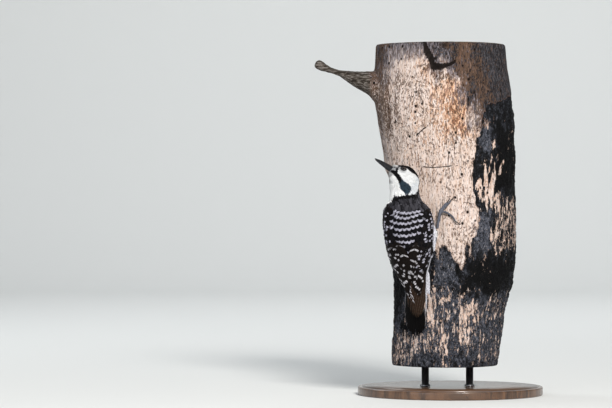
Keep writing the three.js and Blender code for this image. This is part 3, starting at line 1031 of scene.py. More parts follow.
class CoatTree(Desk):
    """The node tree that lays feathers on the skin like shingles, each tip lifted over the next roots."""

    patch = 0.003
    kinds = {
        "Skin": "Object", "Vane": "Object", "Finish": "Material", "Thickness": "Float", "Patch": "Float",
    }
    marks = ("white", "bar", "spot", "age", "warm")

    def __init__(self) -> None:
        """Builds the tree with its named inputs."""
        super().__init__(bpy.data.node_groups.new("coat_shingles", "GeometryNodeTree"))
        face = self.tree.interface
        face.new_socket(name="Geometry", in_out="INPUT", socket_type="NodeSocketGeometry")
        face.new_socket(name="Geometry", in_out="OUTPUT", socket_type="NodeSocketGeometry")
        self.inputs = {
            name: face.new_socket(name=name, in_out="INPUT", socket_type=f"NodeSocket{kind}").identifier
            for name, kind in self.kinds.items()
        }
        self.build()

    def stored(self, name: str, kind: str = "FLOAT") -> Socket:
        """A value stored on the geometry."""
        outputs = self.node("GeometryNodeInputNamedAttribute", {"data_type": kind}, {"Name": name}).outputs
        return outputs["Attribute"]

    def arrow(self, name: str) -> Socket:
        """A vector stored on the geometry."""
        return self.stored(name, "FLOAT_VECTOR")

    def number(self, name: str) -> Signal:
        """A number stored on the geometry."""
        return Signal(self, self.stored(name))

    def vector(self, operation: str, values: Mapping[int, object]) -> Socket:
        """A vector from the vectors and the scale at a Vector Math node's places."""
        return self.node("ShaderNodeVectorMath", {"operation": operation}, values).outputs[0]

    def triple(self, *parts: object) -> Socket:
        """A vector from three numbers."""
        return self.node("ShaderNodeCombineXYZ", {}, dict(enumerate(parts))).outputs[0]

    def on_skin(self, skin: Socket, value: Socket) -> Socket:
        """A vector read at the nearest place on the skin."""
        kind = {"data_type": "FLOAT_VECTOR"}
        return self.node("GeometryNodeSampleNearestSurface", kind, {"Mesh": skin, "Value": value}).outputs[0]

    def build(self) -> None:
        """Sets feathers on the points, wraps each to the skin, maps it and gives it its finish."""
        given = self.node("NodeGroupInput", {}, {}).outputs
        skin, vane = (
            self.node("GeometryNodeObjectInfo", {}, {"Object": given[name]}).outputs["Geometry"]
            for name in ("Skin", "Vane")
        )
        ways = {"Primary Axis": self.arrow("lie"), "Secondary Axis": self.arrow("out")}
        axes = {"primary_axis": "X", "secondary_axis": "Z"}
        turn = self.node("FunctionNodeAxesToRotation", axes, ways).outputs[0]
        size = self.triple(self.stored("length"), self.stored("width"), 1.0)
        values = {"Points": given["Geometry"], "Instance": vane, "Rotation": turn, "Scale": size}
        placed = self.node("GeometryNodeInstanceOnPoints", {}, values).outputs[0]
        real = self.node("GeometryNodeRealizeInstances", {}, {"Geometry": placed}).outputs[0]
        foot = self.on_skin(skin, self.node("GeometryNodeInputPosition", {}, {}).outputs[0])
        out = self.vector("NORMALIZE", {0: self.on_skin(skin, self.arrow("out_way"))})
        along, side = self.number("vane_along"), self.number("vane_side")
        over = self.number("lift") * along**1.25
        height = over + over * abs(side) * -0.3 + self.number("vane_height") * given["Thickness"]
        moved = self.vector("ADD", {0: foot, 1: self.vector("SCALE", {0: out, 3: height})})
        laid = self.node("GeometryNodeSetPosition", {}, {"Geometry": real, "Position": moved}).outputs[0]
        patch = self.triple(side * 0.5 * given["Patch"], (along - 0.5) * given["Patch"], 0.0)
        place = self.vector("ADD", {0: self.arrow("root_place"), 1: patch})
        store = {"data_type": "FLOAT2", "domain": "CORNER"}
        values = {"Geometry": laid, "Name": "OFBake", "Value": place}
        mapped = self.node("GeometryNodeStoreNamedAttribute", store, values).outputs[0]
        values = {"Geometry": mapped, "Material": given["Finish"]}
        self.node("NodeGroupOutput", {}, {0: self.node("GeometryNodeSetMaterial", {}, values).outputs[0]})

    def grow(self, name: str, feathers: Feathers, settings: Settings, skin_map: SkinMap) -> Piece:
        """Grows one family of feathers as a plain mesh.

        Args:
            name: the piece's name.
            feathers: its feathers.
            settings: the tree's inputs by name.
            skin_map: the unwrap that gives each feather its place on the map.

        Returns:
            The piece, with its map and its finish.
        """
        points = bpy.data.meshes.new(name)
        points.from_pydata(to_frame(feathers.roots).tolist(), [], [])
        place = skin_map.at(feathers.roots)
        place = 0.01 + 0.98 * (place - place.min(axis=0)) / np.maximum(np.ptp(place, axis=0), TINY)
        spare = {key: getattr(feathers, key) / METRE for key in ("length", "width", "lift")}
        spare |= {"lie": BIRD.turn(feathers.lie), "out": BIRD.turn(feathers.normals)}
        spare["root_place"] = np.pad(place, ((0, 0), (0, 1)))
        give(points, **spare, **{key: getattr(feathers, key) for key in self.marks})
        made = bpy.data.objects.new(name, points)
        bpy.context.collection.objects.link(made)
        step = made.modifiers.new("coat", "NODES")
        step.node_group = self.tree
        for key, value in settings.items():
            step[self.inputs[key]] = value
        mesh = evaluated(made)
        made.modifiers.remove(step)
        made.data = mesh
        mesh.shade_smooth()
        for key in (*spare, "vane_height"):
            if key in mesh.attributes:
                mesh.attributes.remove(mesh.attributes[key])
        bpy.data.meshes.remove(points)
        return made


@dataclass
class Coat:
    """All small feathers: where they grow, which way they lie, how large they are, and their marks."""

    skin: Skin
    wings: Sequence["Wing"]
    finish: Material
    tries: int = 5
    back_radius: float = 26.0
    lower_gap: float = 6.2
    upper_gap: float = 4.4
    tufts: int = 130
    grower: CoatTree = field(default_factory=CoatTree)
    rng: np.random.Generator = field(default_factory=lambda: np.random.default_rng(41))

    def __post_init__(self) -> None:
        """Makes the search tree over the skin, its map and the shapes of feather."""
        self.tree = self.skin.shell.tree()
        self.skin_map = self.skin.unwrap()
        self.vanes = {shape: vane_template(shape) for shape in VaneShape}

    def flow(self, points: Array, normals: Array) -> Array:
        """The lie of the coat: back from the bill over the head, then down the neck and body to the tail.

        Args:
            points: roots.
            normals: the skin's normals there.

        Returns:
            A direction along the skin at each root.
        """
        ahead, height = HEAD.inward(points)[:, 0], points[:, 2]
        lean = through(height, ((98, 0.62), (120, 0.6), (150, 0.42), (175, 0.12), (200, 0.02), (214, 0.0)))
        down = unit(np.stack([0 * lean, lean, 0 * lean - 1], axis=1))
        share = ease(ahead, -1, -17)[:, None]
        way = -HEAD.basis[:, 0] * (1 - share) + down * share
        return unit(way - dot(way, normals) * normals)

    def scatter(self, part: Callable[[Array], tuple[Array, Array]]) -> Array:
        """Spreads roots over part of the skin, no two closer than their spacing.

        Args:
            part: tells which points belong to the part, and the least gap at each, in millimetres.

        Returns:
            Rows of a root and its normal.
        """
        faces = self.skin.shell.faces
        keep, gap = part(self.skin.shell.points[faces].mean(axis=1))
        corners, ways, gap = self.skin.shell.points[faces[keep]], self.skin.normals[faces[keep]], gap[keep]
        one, two = corners[:, 1] - corners[:, 0], corners[:, 2] - corners[:, 0]
        chance = np.linalg.norm(np.cross(one, two), axis=1) / 2 / gap**2
        picked = self.rng.choice(len(gap), int(chance.sum() * self.tries), p=chance / chance.sum())
        share = self.rng.dirichlet((1, 1, 1), len(picked))[:, :, None]
        points = (corners[picked] * share).sum(axis=1)
        normals = unit((ways[picked] * share).sum(axis=1))
        size = float(gap[picked].max())
        around = [(i, j, k) for i in (-1, 0, 1) for j in (-1, 0, 1) for k in (-1, 0, 1)]
        boxes: dict[tuple[int, ...], list[Vector]] = {}
        chosen = []
        for index, (spot, least) in enumerate(zip(map(Vector, points.tolist()), gap[picked].tolist())):
            x, y, z = (int(value // size) for value in spot)
            near = (other for i, j, k in around for other in boxes.get((x + i, y + j, z + k), ()))
            if all((other - spot).length_squared >= least**2 for other in near):
                boxes.setdefault((x, y, z), []).append(spot)
                chosen.append(index)
        return np.concatenate([points[chosen], normals[chosen]], axis=1)

    def on_skin(self, points: Array) -> Array:
        """Rows of the nearest place on the skin and its normal.

        Args:
            points: where.

        Returns:
            A row of six for each.
        """
        rows = []
        for point in points.tolist():
            spot, _, index, _ = self.tree.find_nearest(point)
            rows.append((*spot, *unit(self.skin.normals[self.skin.shell.faces[index]].mean(axis=0))))
        return np.array(rows)

    def family(self, rows: Array, length: Numbers, width: Numbers, lift: Numbers, stray: float) -> Feathers:
        """Feathers on the given roots, marked as the map of markings says at their showing ends.

        Args:
            rows: roots and normals.
            length: how long each is.
            width: half of how wide each is.
            lift: how far its tip stands off the skin.
            stray: how far a feather may turn off the lie, in radians.

        Returns:
            The family.
        """
        roots, normals, count = rows[:, :3], rows[:, 3:], len(rows)
        lie = self.flow(roots, normals)
        lie = unit(lie + np.cross(normals, lie) * self.rng.normal(0, stray, (count, 1)))
        length = length * self.rng.uniform(0.88, 1.14, count)
        shown = roots + lie * (length * 0.72)[:, None]
        seeds = self.rng.random(count)
        # The black mantle just below the collar gets a little white: a painted sheen on its black feathers.
        collar = through(MARKS.bearing(roots), MARKS.collar) - roots[:, 2]
        mantle = ease(roots[:, 2], 197, 203) * ease(HEAD.inward(roots)[:, 0], 2, -8) * ease(collar, 0.5, 3.5)
        white = np.maximum(MARKS.white(shown, seeds), (0.03 + 0.2 * seeds**1.6) * mantle)
        at = folded(shown)
        # warm below 0 paints light into the colour: -1 gives the black moustache a painted blue-grey sheen,
        # and -0.34 gives most white feathers behind the head a painted cool shade.
        cold = -1.0 * ((chain_gap(at, MARKS.moustache) < 0.5) & (at[:, 0] < 2.6) & (at[:, 0] > -14))
        pale = (self.rng.random(count) < 0.8) * (white > 0.5)
        cold = np.minimum(cold, -0.34 * ease(at[:, 0], -3, -12) * pale)
        width, lift = width * self.rng.uniform(0.9, 1.1, count), lift * self.rng.uniform(0.75, 1.25, count)
        plain, age = np.zeros(count), self.rng.random(count)
        return Feathers(roots, normals, lie, length, width, lift, white, plain, plain, age, cold)

    def add(
        self, name: str, feathers: Feathers, shape: VaneShape, thick: float, slot: str = "plumage_white",
    ) -> None:
        """Grows a family as a piece.

        Args:
            name: the piece's name.
            feathers: the family.
            shape: the feathers' outline.
            thick: how thick they are, in millimetres.
            slot: the record's material slot.
        """
        settings = {"Skin": self.skin.piece, "Vane": self.vanes[shape], "Finish": self.finish}
        settings |= {"Thickness": thick / METRE, "Patch": self.grower.patch}
        finish_piece(self.grower.grow(name, feathers, settings, self.skin_map), slot, None)

    def wing_cover(self, points: Array) -> Array:
        """How many degrees deep points lie under the folded wings, positive where a wing covers them.

        Args:
            points: where.

        Returns:
            The cover of each point.
        """
        turn, height = MARKS.bearing(points), points[:, 2]
        deep = []
        for wing in self.wings:
            inner, outer = through(height, wing.inner), through(height, wing.outer)
            deep.append(np.minimum(turn * wing.side - inner, outer - turn * wing.side))
        return np.max(deep, axis=0) * (height < 208)

    def head_part(self, points: Array) -> tuple[Array, Array]:
        """The head as far as the neck, clear of bill and eyes, and the least gap between roots there.

        Args:
            points: where.

        Returns:
            The mask and the gaps.
        """
        ahead = HEAD.inward(points)[:, 0]
        inside = (ahead > -13) & (points[:, 2] > 219) & (eye_gap(points) > 0.9)
        return inside, 0.62 + 0.4 * ease(ahead, 13, -12)

    def neck_part(self, points: Array) -> tuple[Array, Array]:
        """Neck and collar down to the mantle and the breast, and the least gap between roots there."""
        ahead, height = HEAD.inward(points)[:, 0], points[:, 2]
        return ((ahead <= -12) | (height <= 220)) & (height > 203), 1.05 + 0.5 * ease(height, 226, 204)

    def under_part(self, points: Array) -> tuple[Array, Array]:
        """Breast, flanks, belly and vent beside the wings, and the least gap between roots there.

        Args:
            points: where.

        Returns:
            The mask and the gaps.
        """
        height = points[:, 2]
        front = (height <= 204) & (self.wing_cover(points) < 2) & (np.abs(MARKS.bearing(points)) > 88)
        return front, 1.75 - 0.5 * ease(points[:, 1], 20, 26) * ease(height, 150, 156)

    def dress(self) -> None:
        """Covers head, neck, underparts and back, and lays tufts over the nostrils."""
        for name, part, shape, sizes, stray, thick in (
            ("head_feathers", self.head_part, VaneShape.POINTED, (3.1, 0.72, 0.42), 0.12, 0.06),
            ("neck_feathers", self.neck_part, VaneShape.ROUND, (3.3, 0.72, 0.42), 0.16, 0.08),
            ("belly_feathers", self.under_part, VaneShape.ROUND, (4.1, 0.82, 0.4), 0.2, 0.1),
        ):
            rows = self.scatter(part)
            gap = part(rows[:, :3])[1]
            self.add(name, self.family(rows, *(gap * size for size in sizes), stray), shape, thick)
        self.dress_back()
        self.dress_lores()

    def dress_back(self) -> None:
        """Broad feathers of the back in staggered rows, each with its white bar near the tip."""
        bars = MARKS.bars
        levels = [(bars[-1] - self.lower_gap * step, 0.9) for step in (3, 2, 1)]
        levels += [(bar, 1.0) for bar in reversed(bars)]
        levels += [(bars[0] + self.upper_gap * step, 0.0) for step in (1, 2, 3)]
        spots, marks, lengths = [], [], []
        for row, (level, bar) in enumerate(levels):
            long, pitch = (11.0, 4.3) if bar > 0 else (8.0, 3.4)
            for step in range(-8, 9):
                turn = (step + 0.5 * (row % 2)) * pitch / 21.5
                near = np.array([[MARKS.bar_middle + 23.5 * math.sin(turn), 0.0, level]])
                near[0, 2] += MARKS.rise(near)[0]
                high = near[0, 2] + 0.7 * long
                top = through(math.degrees(turn), MARKS.collar) - 1
                if abs(turn) > 1.36 or (bar == 0 and high > top):
                    continue
                out = self.back_radius
                spots.append((MARKS.bar_middle + out * math.sin(turn), 1 - out * math.cos(turn), high))
                kept = self.rng.random() < (1.0 if bar == 1.0 else 0.5)
                marks.append(bar * (MARKS.barred(near)[0] if bar == 1.0 else 1.0) * kept)
                lengths.append(long)
        rows, long = self.on_skin(np.array(spots)), np.array(lengths)
        made = self.family(rows, long, long * 0.285, 0.95, 0.06)
        # Back feathers above 203 mm lie on the black mantle; their little white is a painted sheen.
        made.white = np.where(rows[:, 2] > 203, 0.09 * made.age, 0.0)
        made.bar = np.array(marks) * self.rng.uniform(0.72, 1.0, len(rows))
        made.length = long * self.rng.uniform(0.96, 1.04, len(rows))
        self.add("back_feathers", made, VaneShape.BROAD, 0.16, "plumage_barred")

    def dress_lores(self) -> None:
        """Stiff pale tufts that lie forward over the nostrils."""
        spots, ways = [], []
        for side in (-1, 1):
            for _ in range(self.tufts):
                ahead = self.rng.uniform(13.9, 16.2)
                lean = math.radians(self.rng.uniform(8, 74)) * side
                spots.append((ahead, 9 * math.sin(lean), 9 * math.cos(lean) - 0.4))
                ways.append((1.0, -0.1 * side, 0.0))
        rows = self.on_skin(HEAD.outward(np.array(spots)))
        made = self.family(rows, 4.3, 0.46, 1.35, 0.1)
        lie = HEAD.turn(np.array(ways))
        lie -= dot(lie, rows[:, 3:]) * rows[:, 3:]
        made.lie = unit(lie + self.rng.normal(0, 0.12, lie.shape))
        lower = ease(np.abs(HEAD.inward(rows[:, :3])[:, 1]), 4.4, 6.4)
        made.white = self.rng.uniform(0.7, 1.0, len(rows)) * (1 - 0.45 * lower)
        made.warm = 0.8 - 0.7 * lower
        self.add("nostril_tufts", made, VaneShape.POINTED, 0.08)


# ---- wings and tail


class QuillKind(Enum):
    """Kinds of flight feather, by the number that their finish reads."""

    DASHED_PRIMARY = -1.0
    PRIMARY = 0.0
    SECONDARY = 1.0
    TAIL = 2.0
    BARRED_TAIL = 3.0
    PLUME = 4.0
    TERTIAL = 5.0


@dataclass(frozen=True)
class Quill:
    """One flight feather: heights of root and tip, places across, half width, height over the bed, kind."""

    top: float
    tip: float
    across_top: float
    across_tip: float
    half: float
    lift: float
    kind: QuillKind
    point: float = 0.0


@dataclass
class QuillMaker:
    """Makes flight feathers as closed curved vanes with a raised shaft."""

    bed: Callable[[Array, Array, Array], Array]
    side: float
    rng: np.random.Generator
    rows: int = 30
    parts: tuple[float, ...] = (-1.0, -0.7, -0.38, -0.08, 0.0, 0.08, 0.38, 0.7, 1.0)
    thick: float = 0.26
    taper: float = 0.66
    sink: float = 1.2

    def outline(self, quill: Quill) -> tuple[Array, Array]:
        """Places along a feather and its half width there.

        Args:
            quill: its sizes.

        Returns:
            The places, 0 to 1, and the half widths.
        """
        along = np.linspace(0, 1, self.rows) ** 0.92
        root = 0.3 + 0.7 * ease(along, 0.0, 0.25)
        blunt = np.sqrt(np.clip(1 - np.clip((along - 0.86) / 0.14, 0, 1) ** 2, 0, 1))
        sharp = 1 - 0.93 * ease(along, self.taper, 1.0) ** 0.8
        return along, quill.half * np.maximum(root * (blunt * (1 - quill.point) + sharp * quill.point), 0.03)

    def make(self, quill: Quill) -> tuple[Array, Faces, dict[str, Array]]:
        """One feather over the bed, which gives points from heights, places across and heights above it.

        Args:
            quill: its sizes.

        Returns:
            Its points, its faces and its stored numbers.
        """
        along, half = self.outline(quill)
        level = quill.top + (quill.tip - quill.top) * along
        middle = quill.across_top + (quill.across_tip - quill.across_top) * along
        parts = np.array(self.parts)
        high = quill.lift - self.sink * (1 - ease(along, 0.0, 0.2))
        shape = 0.1 * (1 - parts**2) + 0.14 * (np.abs(parts) < 0.1) + 0.24 * parts
        edge = self.thick * np.where(np.abs(parts) > 0.99, 0.35, 1.0)
        rings = []
        for index in range(self.rows):
            across = middle[index] + parts * half[index]
            levels = np.full(len(parts), level[index])
            top, low = (self.bed(levels, across, high[index] + shape - deep) for deep in (0, edge))
            rings.append(np.concatenate([top, low[::-1]]))
        points, faces = loft(rings)
        doubled = np.concatenate([parts, parts[::-1]])
        flat = np.ones_like(doubled)
        tables = {
            "vane_side": np.outer(np.ones(self.rows), doubled),
            "vane_along": np.outer(along, flat),
            "reach": np.outer(level + 0.85 * np.abs(middle), flat),
            "from_edge": np.outer(half, 1 - np.abs(doubled)),
        }
        stored = {}
        for key, table in tables.items():
            stored[key] = np.array([*table.ravel(), table[0].mean(), table[-1].mean()])
        stored["age"] = np.full(len(points), self.rng.random())
        stored["kind"] = np.full(len(points), quill.kind.value)
        return points, flipped(faces) if self.side > 0 else faces, stored

    def join(self, name: str, quills: Iterable[Quill]) -> Piece:
        """One piece of several feathers, with a map that gives each its own strip.

        Args:
            name: the piece's name.
            quills: the feathers' sizes.

        Returns:
            The piece.
        """
        made = [self.make(quill) for quill in quills]
        faces: Faces = []
        offset = 0
        places = []
        for index, (points, corners, stored) in enumerate(made):
            faces += [tuple(corner + offset for corner in face) for face in corners]
            offset += len(points)
            across = (index + 0.5 + 0.42 * stored["vane_side"]) / len(made)
            places.append(np.stack([across, 0.02 + 0.96 * stored["vane_along"]], axis=1))
        piece = make_piece(name, to_frame(np.concatenate([points for points, _, _ in made])), faces)
        for key in made[0][2]:
            give(piece.data, **{key: np.concatenate([stored[key] for _, _, stored in made])})
        corners = np.empty(len(piece.data.loops), dtype=np.int64)
        piece.data.loops.foreach_get("vertex_index", corners)
        layer = piece.data.uv_layers.new(name="OFBake")
        layer.uv.foreach_set("vector", np.concatenate(places)[corners].astype(np.float32).ravel())
        return piece


@dataclass
class Wing:
    """A folded wing: primaries, secondaries and tertials over its own surface, and rows of coverts."""

    side: float
    node: str
    curve: float = 22.0
    far: float = 70.0
    axis_x: Rows = ((82, 0.4), (96, 0.6), (108, 0.9), (120, 0.6), (132, 0), (175, 0), (190, -0.5), (215, -3))
    axis_y: Rows = (
        (82, 36), (96, 30.5), (108, 25.5), (120, 20.2), (132, 13.5), (146, 8), (160, 4), (175, 1),
        (190, -0.5), (215, -1.3),
    )
    inner: Rows = (
        (85, -46), (98, -52), (107, -48), (120, -9), (135, -2), (142, 2), (147, 10), (157, 25), (170, 36),
        (190, 41), (202, 48), (208, 60),
    )
    outer: Rows = (
        (85, 78), (98, 86), (104, 88), (120, 96), (139, 104), (157, 109), (170, 110), (190, 106), (202, 96),
        (208, 84),
    )
    spot_from: Rows = (
        (138, 2), (150, 8), (158, 22), (165, 36), (172, 46), (180, 50), (188, 57), (197, 64),
    )
    primary_tips: tuple[float, ...] = (97, 91.5, 88.5, 87, 86, 85.4, 86, 88, 101)
    secondary_tips: tuple[float, ...] = (108, 110, 112, 114, 116.5, 119.5, 123)
    tertial_tips: tuple[float, ...] = (127, 132, 138)
    over: float = 0.0
    flare: float = 1.5
    fan: float = 1.0
    slant: float = 24.0
    row_gap: float = 4.9
    covert_gap: float = 5.2
    edge_rows: int = 26
    edge_columns: int = 5
    reach: Array = field(init=False)

    def __post_init__(self) -> None:
        """Measures the wing's outer surface round the body's axis."""
        tree = bird_shell(self.node).tree()
        self.heights = np.arange(84.0, 209.0, 1.0)
        self.turns = np.arange(-8.0, 120.0, 2.0)
        found = np.full((len(self.heights), len(self.turns)), np.nan)
        for row, height in enumerate(self.heights):
            middle = Vector((through(height, self.axis_x), through(height, self.axis_y), height))
            for column, turn in enumerate(self.turns):
                way = Vector((math.sin(math.radians(turn)) * self.side, -math.cos(math.radians(turn)), 0))
                hit = tree.ray_cast(middle + way * self.far, -way, self.far - 6)
                if hit[0] is not None:
                    found[row, column] = self.far - hit[3]
        self.reach = self.filled(found)

    @staticmethod
    def filled(found: Array) -> Array:
        """A table with its gaps filled from the nearest values, then smoothed.

        Args:
            found: the table, with gaps that are not numbers.

        Returns:
            The table.
        """
        for row in range(len(found)):
            good = np.flatnonzero(~np.isnan(found[row]))
            if len(good) > 4:
                inner = good[1:-1]
                found[row] = np.interp(np.arange(len(found[row])), inner, found[row, inner])
        good = np.flatnonzero(~np.isnan(found[:, 0]))
        for column in range(found.shape[1]):
            found[:, column] = np.interp(np.arange(len(found)), good, found[good, column])
        for _ in range(3):
            wide = np.pad(found, 1, mode="edge")
            found = (wide[:-2, 1:-1] + wide[2:, 1:-1] + wide[1:-1, :-2] + wide[1:-1, 2:] + 2 * found) / 6
        return found

    def radius(self, height: Array, turn: Array) -> Array:
        """The surface's distance from the axis at heights and turns in degrees.

        Args:
            height: heights.
            turn: turns round the back.

        Returns:
            The distance of each place.
        """
        row = np.clip(height - self.heights[0], 0, len(self.heights) - 1.001)
        column = np.clip((turn - self.turns[0]) / 2, 0, len(self.turns) - 1.001)
        i, j = row.astype(int), column.astype(int)
        a, b = row - i, column - j
        near = self.reach[i, j] * (1 - b) + self.reach[i, j + 1] * b
        return near * (1 - a) + (self.reach[i + 1, j] * (1 - b) + self.reach[i + 1, j + 1] * b) * a

    def at(self, height: Array, turn: Array, lift: Array | float) -> Array:
        """Points on the wing, raised off it.

        Args:
            height: heights.
            turn: degrees round the back.
            lift: how far above the surface.

        Returns:
            The points.
        """
        out = self.radius(height, turn) + lift
        angle = np.radians(turn)
        x = through(height, self.axis_x) + self.side * np.sin(angle) * out
        y = through(height, self.axis_y) - np.cos(angle) * out
        return np.stack([x, y, height], axis=1)

    def bed(self, height: Array, across: Array, lift: Array) -> Array:
        """Points from millimetres round the back, not a turn; the open tip stands off the tail's side.

        Args:
            height: heights.
            across: millimetres round the back.
            lift: how far above the surface.

        Returns:
            The points.
        """
        turn = np.degrees(across / self.curve)
        open_tip = ease(height, 138, 118) + 1.3 * ease(height, 116, 98)
        return self.at(height, turn, lift + self.flare * open_tip * ease(turn, 18, 62))

    def fringe(self, height: Array, across: Array, lift: Array) -> Array:
        """Points on a sheet that stands out sideways from under the wing's edge.

        Args:
            height: heights.
            across: how far out from the edge.
            lift: how far above the sheet.

        Returns:
            The points.
        """
        turn = np.minimum(through(height, self.outer), 100.0)
        angle = np.radians(turn)
        back = np.stack([-np.cos(angle) * self.side, -np.sin(angle), 0 * angle], axis=1)
        edge = self.at(height, turn, across + self.flare * ease(height, 138, 118))
        return edge + back * (lift - 1.5)[:, None]

    def across(self, height: float, share: float) -> float:
        """Millimetres round the back at a share of the wing's span there."""
        inner, outer = through(height, self.inner), through(height, self.outer)
        return math.radians(inner + (outer - inner) * share) * self.curve

    def quills(self) -> Iterable[Quill]:
        """All its flight feathers, from the outermost primary to the innermost tertial.

        Returns:
            The feathers in turn.
        """
        kind = QuillKind.PRIMARY if self.side > 0 else QuillKind.DASHED_PRIMARY
        for index, tip in reversed(list(enumerate(self.primary_tips))):
            tops = self.across(168, 0.5 + 0.055 * index)
            tips = self.across(max(tip, 90), 0.06 + 0.76 * (index / 8) ** self.fan)
            yield Quill(172 + index, tip, tops, tips, 3.7, self.over - 1.35 + 0.05 * (8 - index), kind, 0.35)
        for index, tip in enumerate(self.secondary_tips):
            tops, tips = self.across(165, 0.74 - 0.085 * index), self.across(tip, 0.58 - 0.08 * index)
            lift = self.over - 0.95 + 0.06 * index
            yield Quill(170 - index * 0.6, tip, tops, tips, 4.4, lift, QuillKind.SECONDARY, 0.1)
        for index, tip in enumerate(self.tertial_tips):
            tops, tips = self.across(160, 0.2 - 0.06 * index), self.across(tip, (0.1, 0.07, 0.05)[index])
            yield Quill(166, tip, tops, tips, 4.8, self.over - 0.5 + 0.14 * index, QuillKind.TERTIAL, 0.05)

    def plumes(self, name: str, material: Material) -> None:
        """Makes long white flank feathers that show beside the right wing.

        Args:
            name: the piece's name.
            material: its finish.
        """
        sizes = (
            (186, 163, -1, 1.6, 2.4, 0), (180, 156, -1, 2.4, 2.6, 0.5), (173, 149, -1, 1.4, 2.3, 0.2),
            (158, 126, -1, 0.6, 1.5, 0.3), (138, 110, -1, 2.4, 2.9, 0), (133, 111, -1, 0.9, 2.5, 0.4),
            (129, 90, -1, 0.2, 1.3, 0.6),
        )
        quills = (Quill(*size, QuillKind.PLUME, 0.6) for size in sizes)
        maker = QuillMaker(self.fringe, self.side, np.random.default_rng(31), rows=18, taper=0.3)
        finish_piece(maker.join(name, quills), "plumage_white", material)

    def build(self, name: str, material: Material) -> None:
        """Makes the flight feathers, which stand for the wing's node, with the given name and finish."""
        maker = QuillMaker(self.bed, self.side, np.random.default_rng(11 if self.side > 0 else 12))
        finish_piece(maker.join(name, self.quills()), "plumage_dark", material, self.node)

    def coverts(self, coat: Coat) -> Feathers:
        """Rows of coverts on the shoulder, each with a white spot, their rows slanting across the wing.

        Args:
            coat: the coat they belong to.

        Returns:
            The family.
        """
        slant = math.radians(self.slant)
        spots, marks, sizes = [], [], []
        for row in range(-2, 22):
            for step in range(-16, 26):
                along, across = row * self.row_gap, (step + 0.5 * (row % 2)) * self.covert_gap
                level = 214 - along * math.cos(slant) + across * math.sin(slant) - 16
                out = self.curve - along * math.sin(slant) + across * math.cos(slant)
                turn = math.degrees(out / self.curve)
                shown = level - 6
                inner, outer = through(shown, self.inner), through(shown, self.outer)
                if not (134 < shown < 203 and inner + (7 if shown > 165 else 1) < turn < outer + 3):
                    continue
                spots.append((level, turn))
                clear = shown < 197 and through(shown, self.spot_from) < turn < outer - 4
                marks.append(clear * (1.0 if shown > 165 or coat.rng.random() < 0.3 else 0.0))
                sizes.append(8.6 if shown < 192 else 7.0)
        rows, long = coat.on_skin(self.at(*np.array(spots).T, 0.0)), np.array(sizes)
        made = coat.family(rows, long, long * 0.38, 1.15, 0.06)
        inward = np.cross(made.lie, rows[:, 3:]) * self.side
        made.lie = unit(made.lie * math.cos(slant) - inward * math.sin(slant))
        made.white = np.where(rows[:, 2] > 203, made.white, 0.0)
        made.spot = np.array(marks) * (coat.rng.random(len(rows)) < 0.93)
        made.spot = made.spot * coat.rng.uniform(0.75, 1.0, len(rows))
        made.warm = coat.rng.uniform(0.0, 0.4, len(rows))
        return made

    def edge_coverts(self, coat: Coat) -> Feathers:
        """Small plain feathers along the wing's bend and front edge.

        Args:
            coat: the coat they belong to.

        Returns:
            The family.
        """
        row, step = np.divmod(np.arange(self.edge_rows * self.edge_columns), self.edge_columns)
        level = 208 - row * 2.3
        turn = through(level, self.outer) + 4 - step * 5.5 - 2.7 * (row % 2)
        kept = turn > through(level, self.inner)
        rows = coat.on_skin(self.at(level[kept], turn[kept], 0.0))
        made = coat.family(rows, 5.4, 1.6, 0.7, 0.12)
        made.white = np.where(rows[:, 2] > 198, made.white, 0.0)
        made.spot = (coat.rng.random(len(rows)) < 0.12) * (rows[:, 2] < 192) * 0.8
        return made


def folded_wings() -> tuple[Wing, Wing]:
    """The right wing, and the left one, whose tip crosses over the tail and over the right wing's edge.

    Returns:
        The right wing and the left.
    """
    outer = (
        (85, -4), (98, -2), (101.5, 8), (105, 20), (110, 37), (117, 49), (126, 62), (139, 92), (157, 109),
        (190, 106), (202, 96), (208, 84),
    )
    inner = (
        (85, -30), (100, -30), (101.5, -28), (105, -22), (112, -10), (125, -14), (140, -16), (150, -8),
        (157, 8), (165, 25), (175, 36), (190, 41), (202, 48), (208, 60),
    )
    spot_from = ((138, -14), (150, -4), (158, 12), (165, 20), (172, 34), (180, 40), (188, 46), (197, 55))
    tips = (119, 116, 113, 110, 106, 101.5, 99.5, 100.5, 103)
    shape = {"outer": outer, "inner": inner, "spot_from": spot_from, "primary_tips": tips}
    return Wing(1.0, "wing_right"), Wing(-1.0, "wing_left", **shape, over=0.6, flare=0.0, fan=2.3)


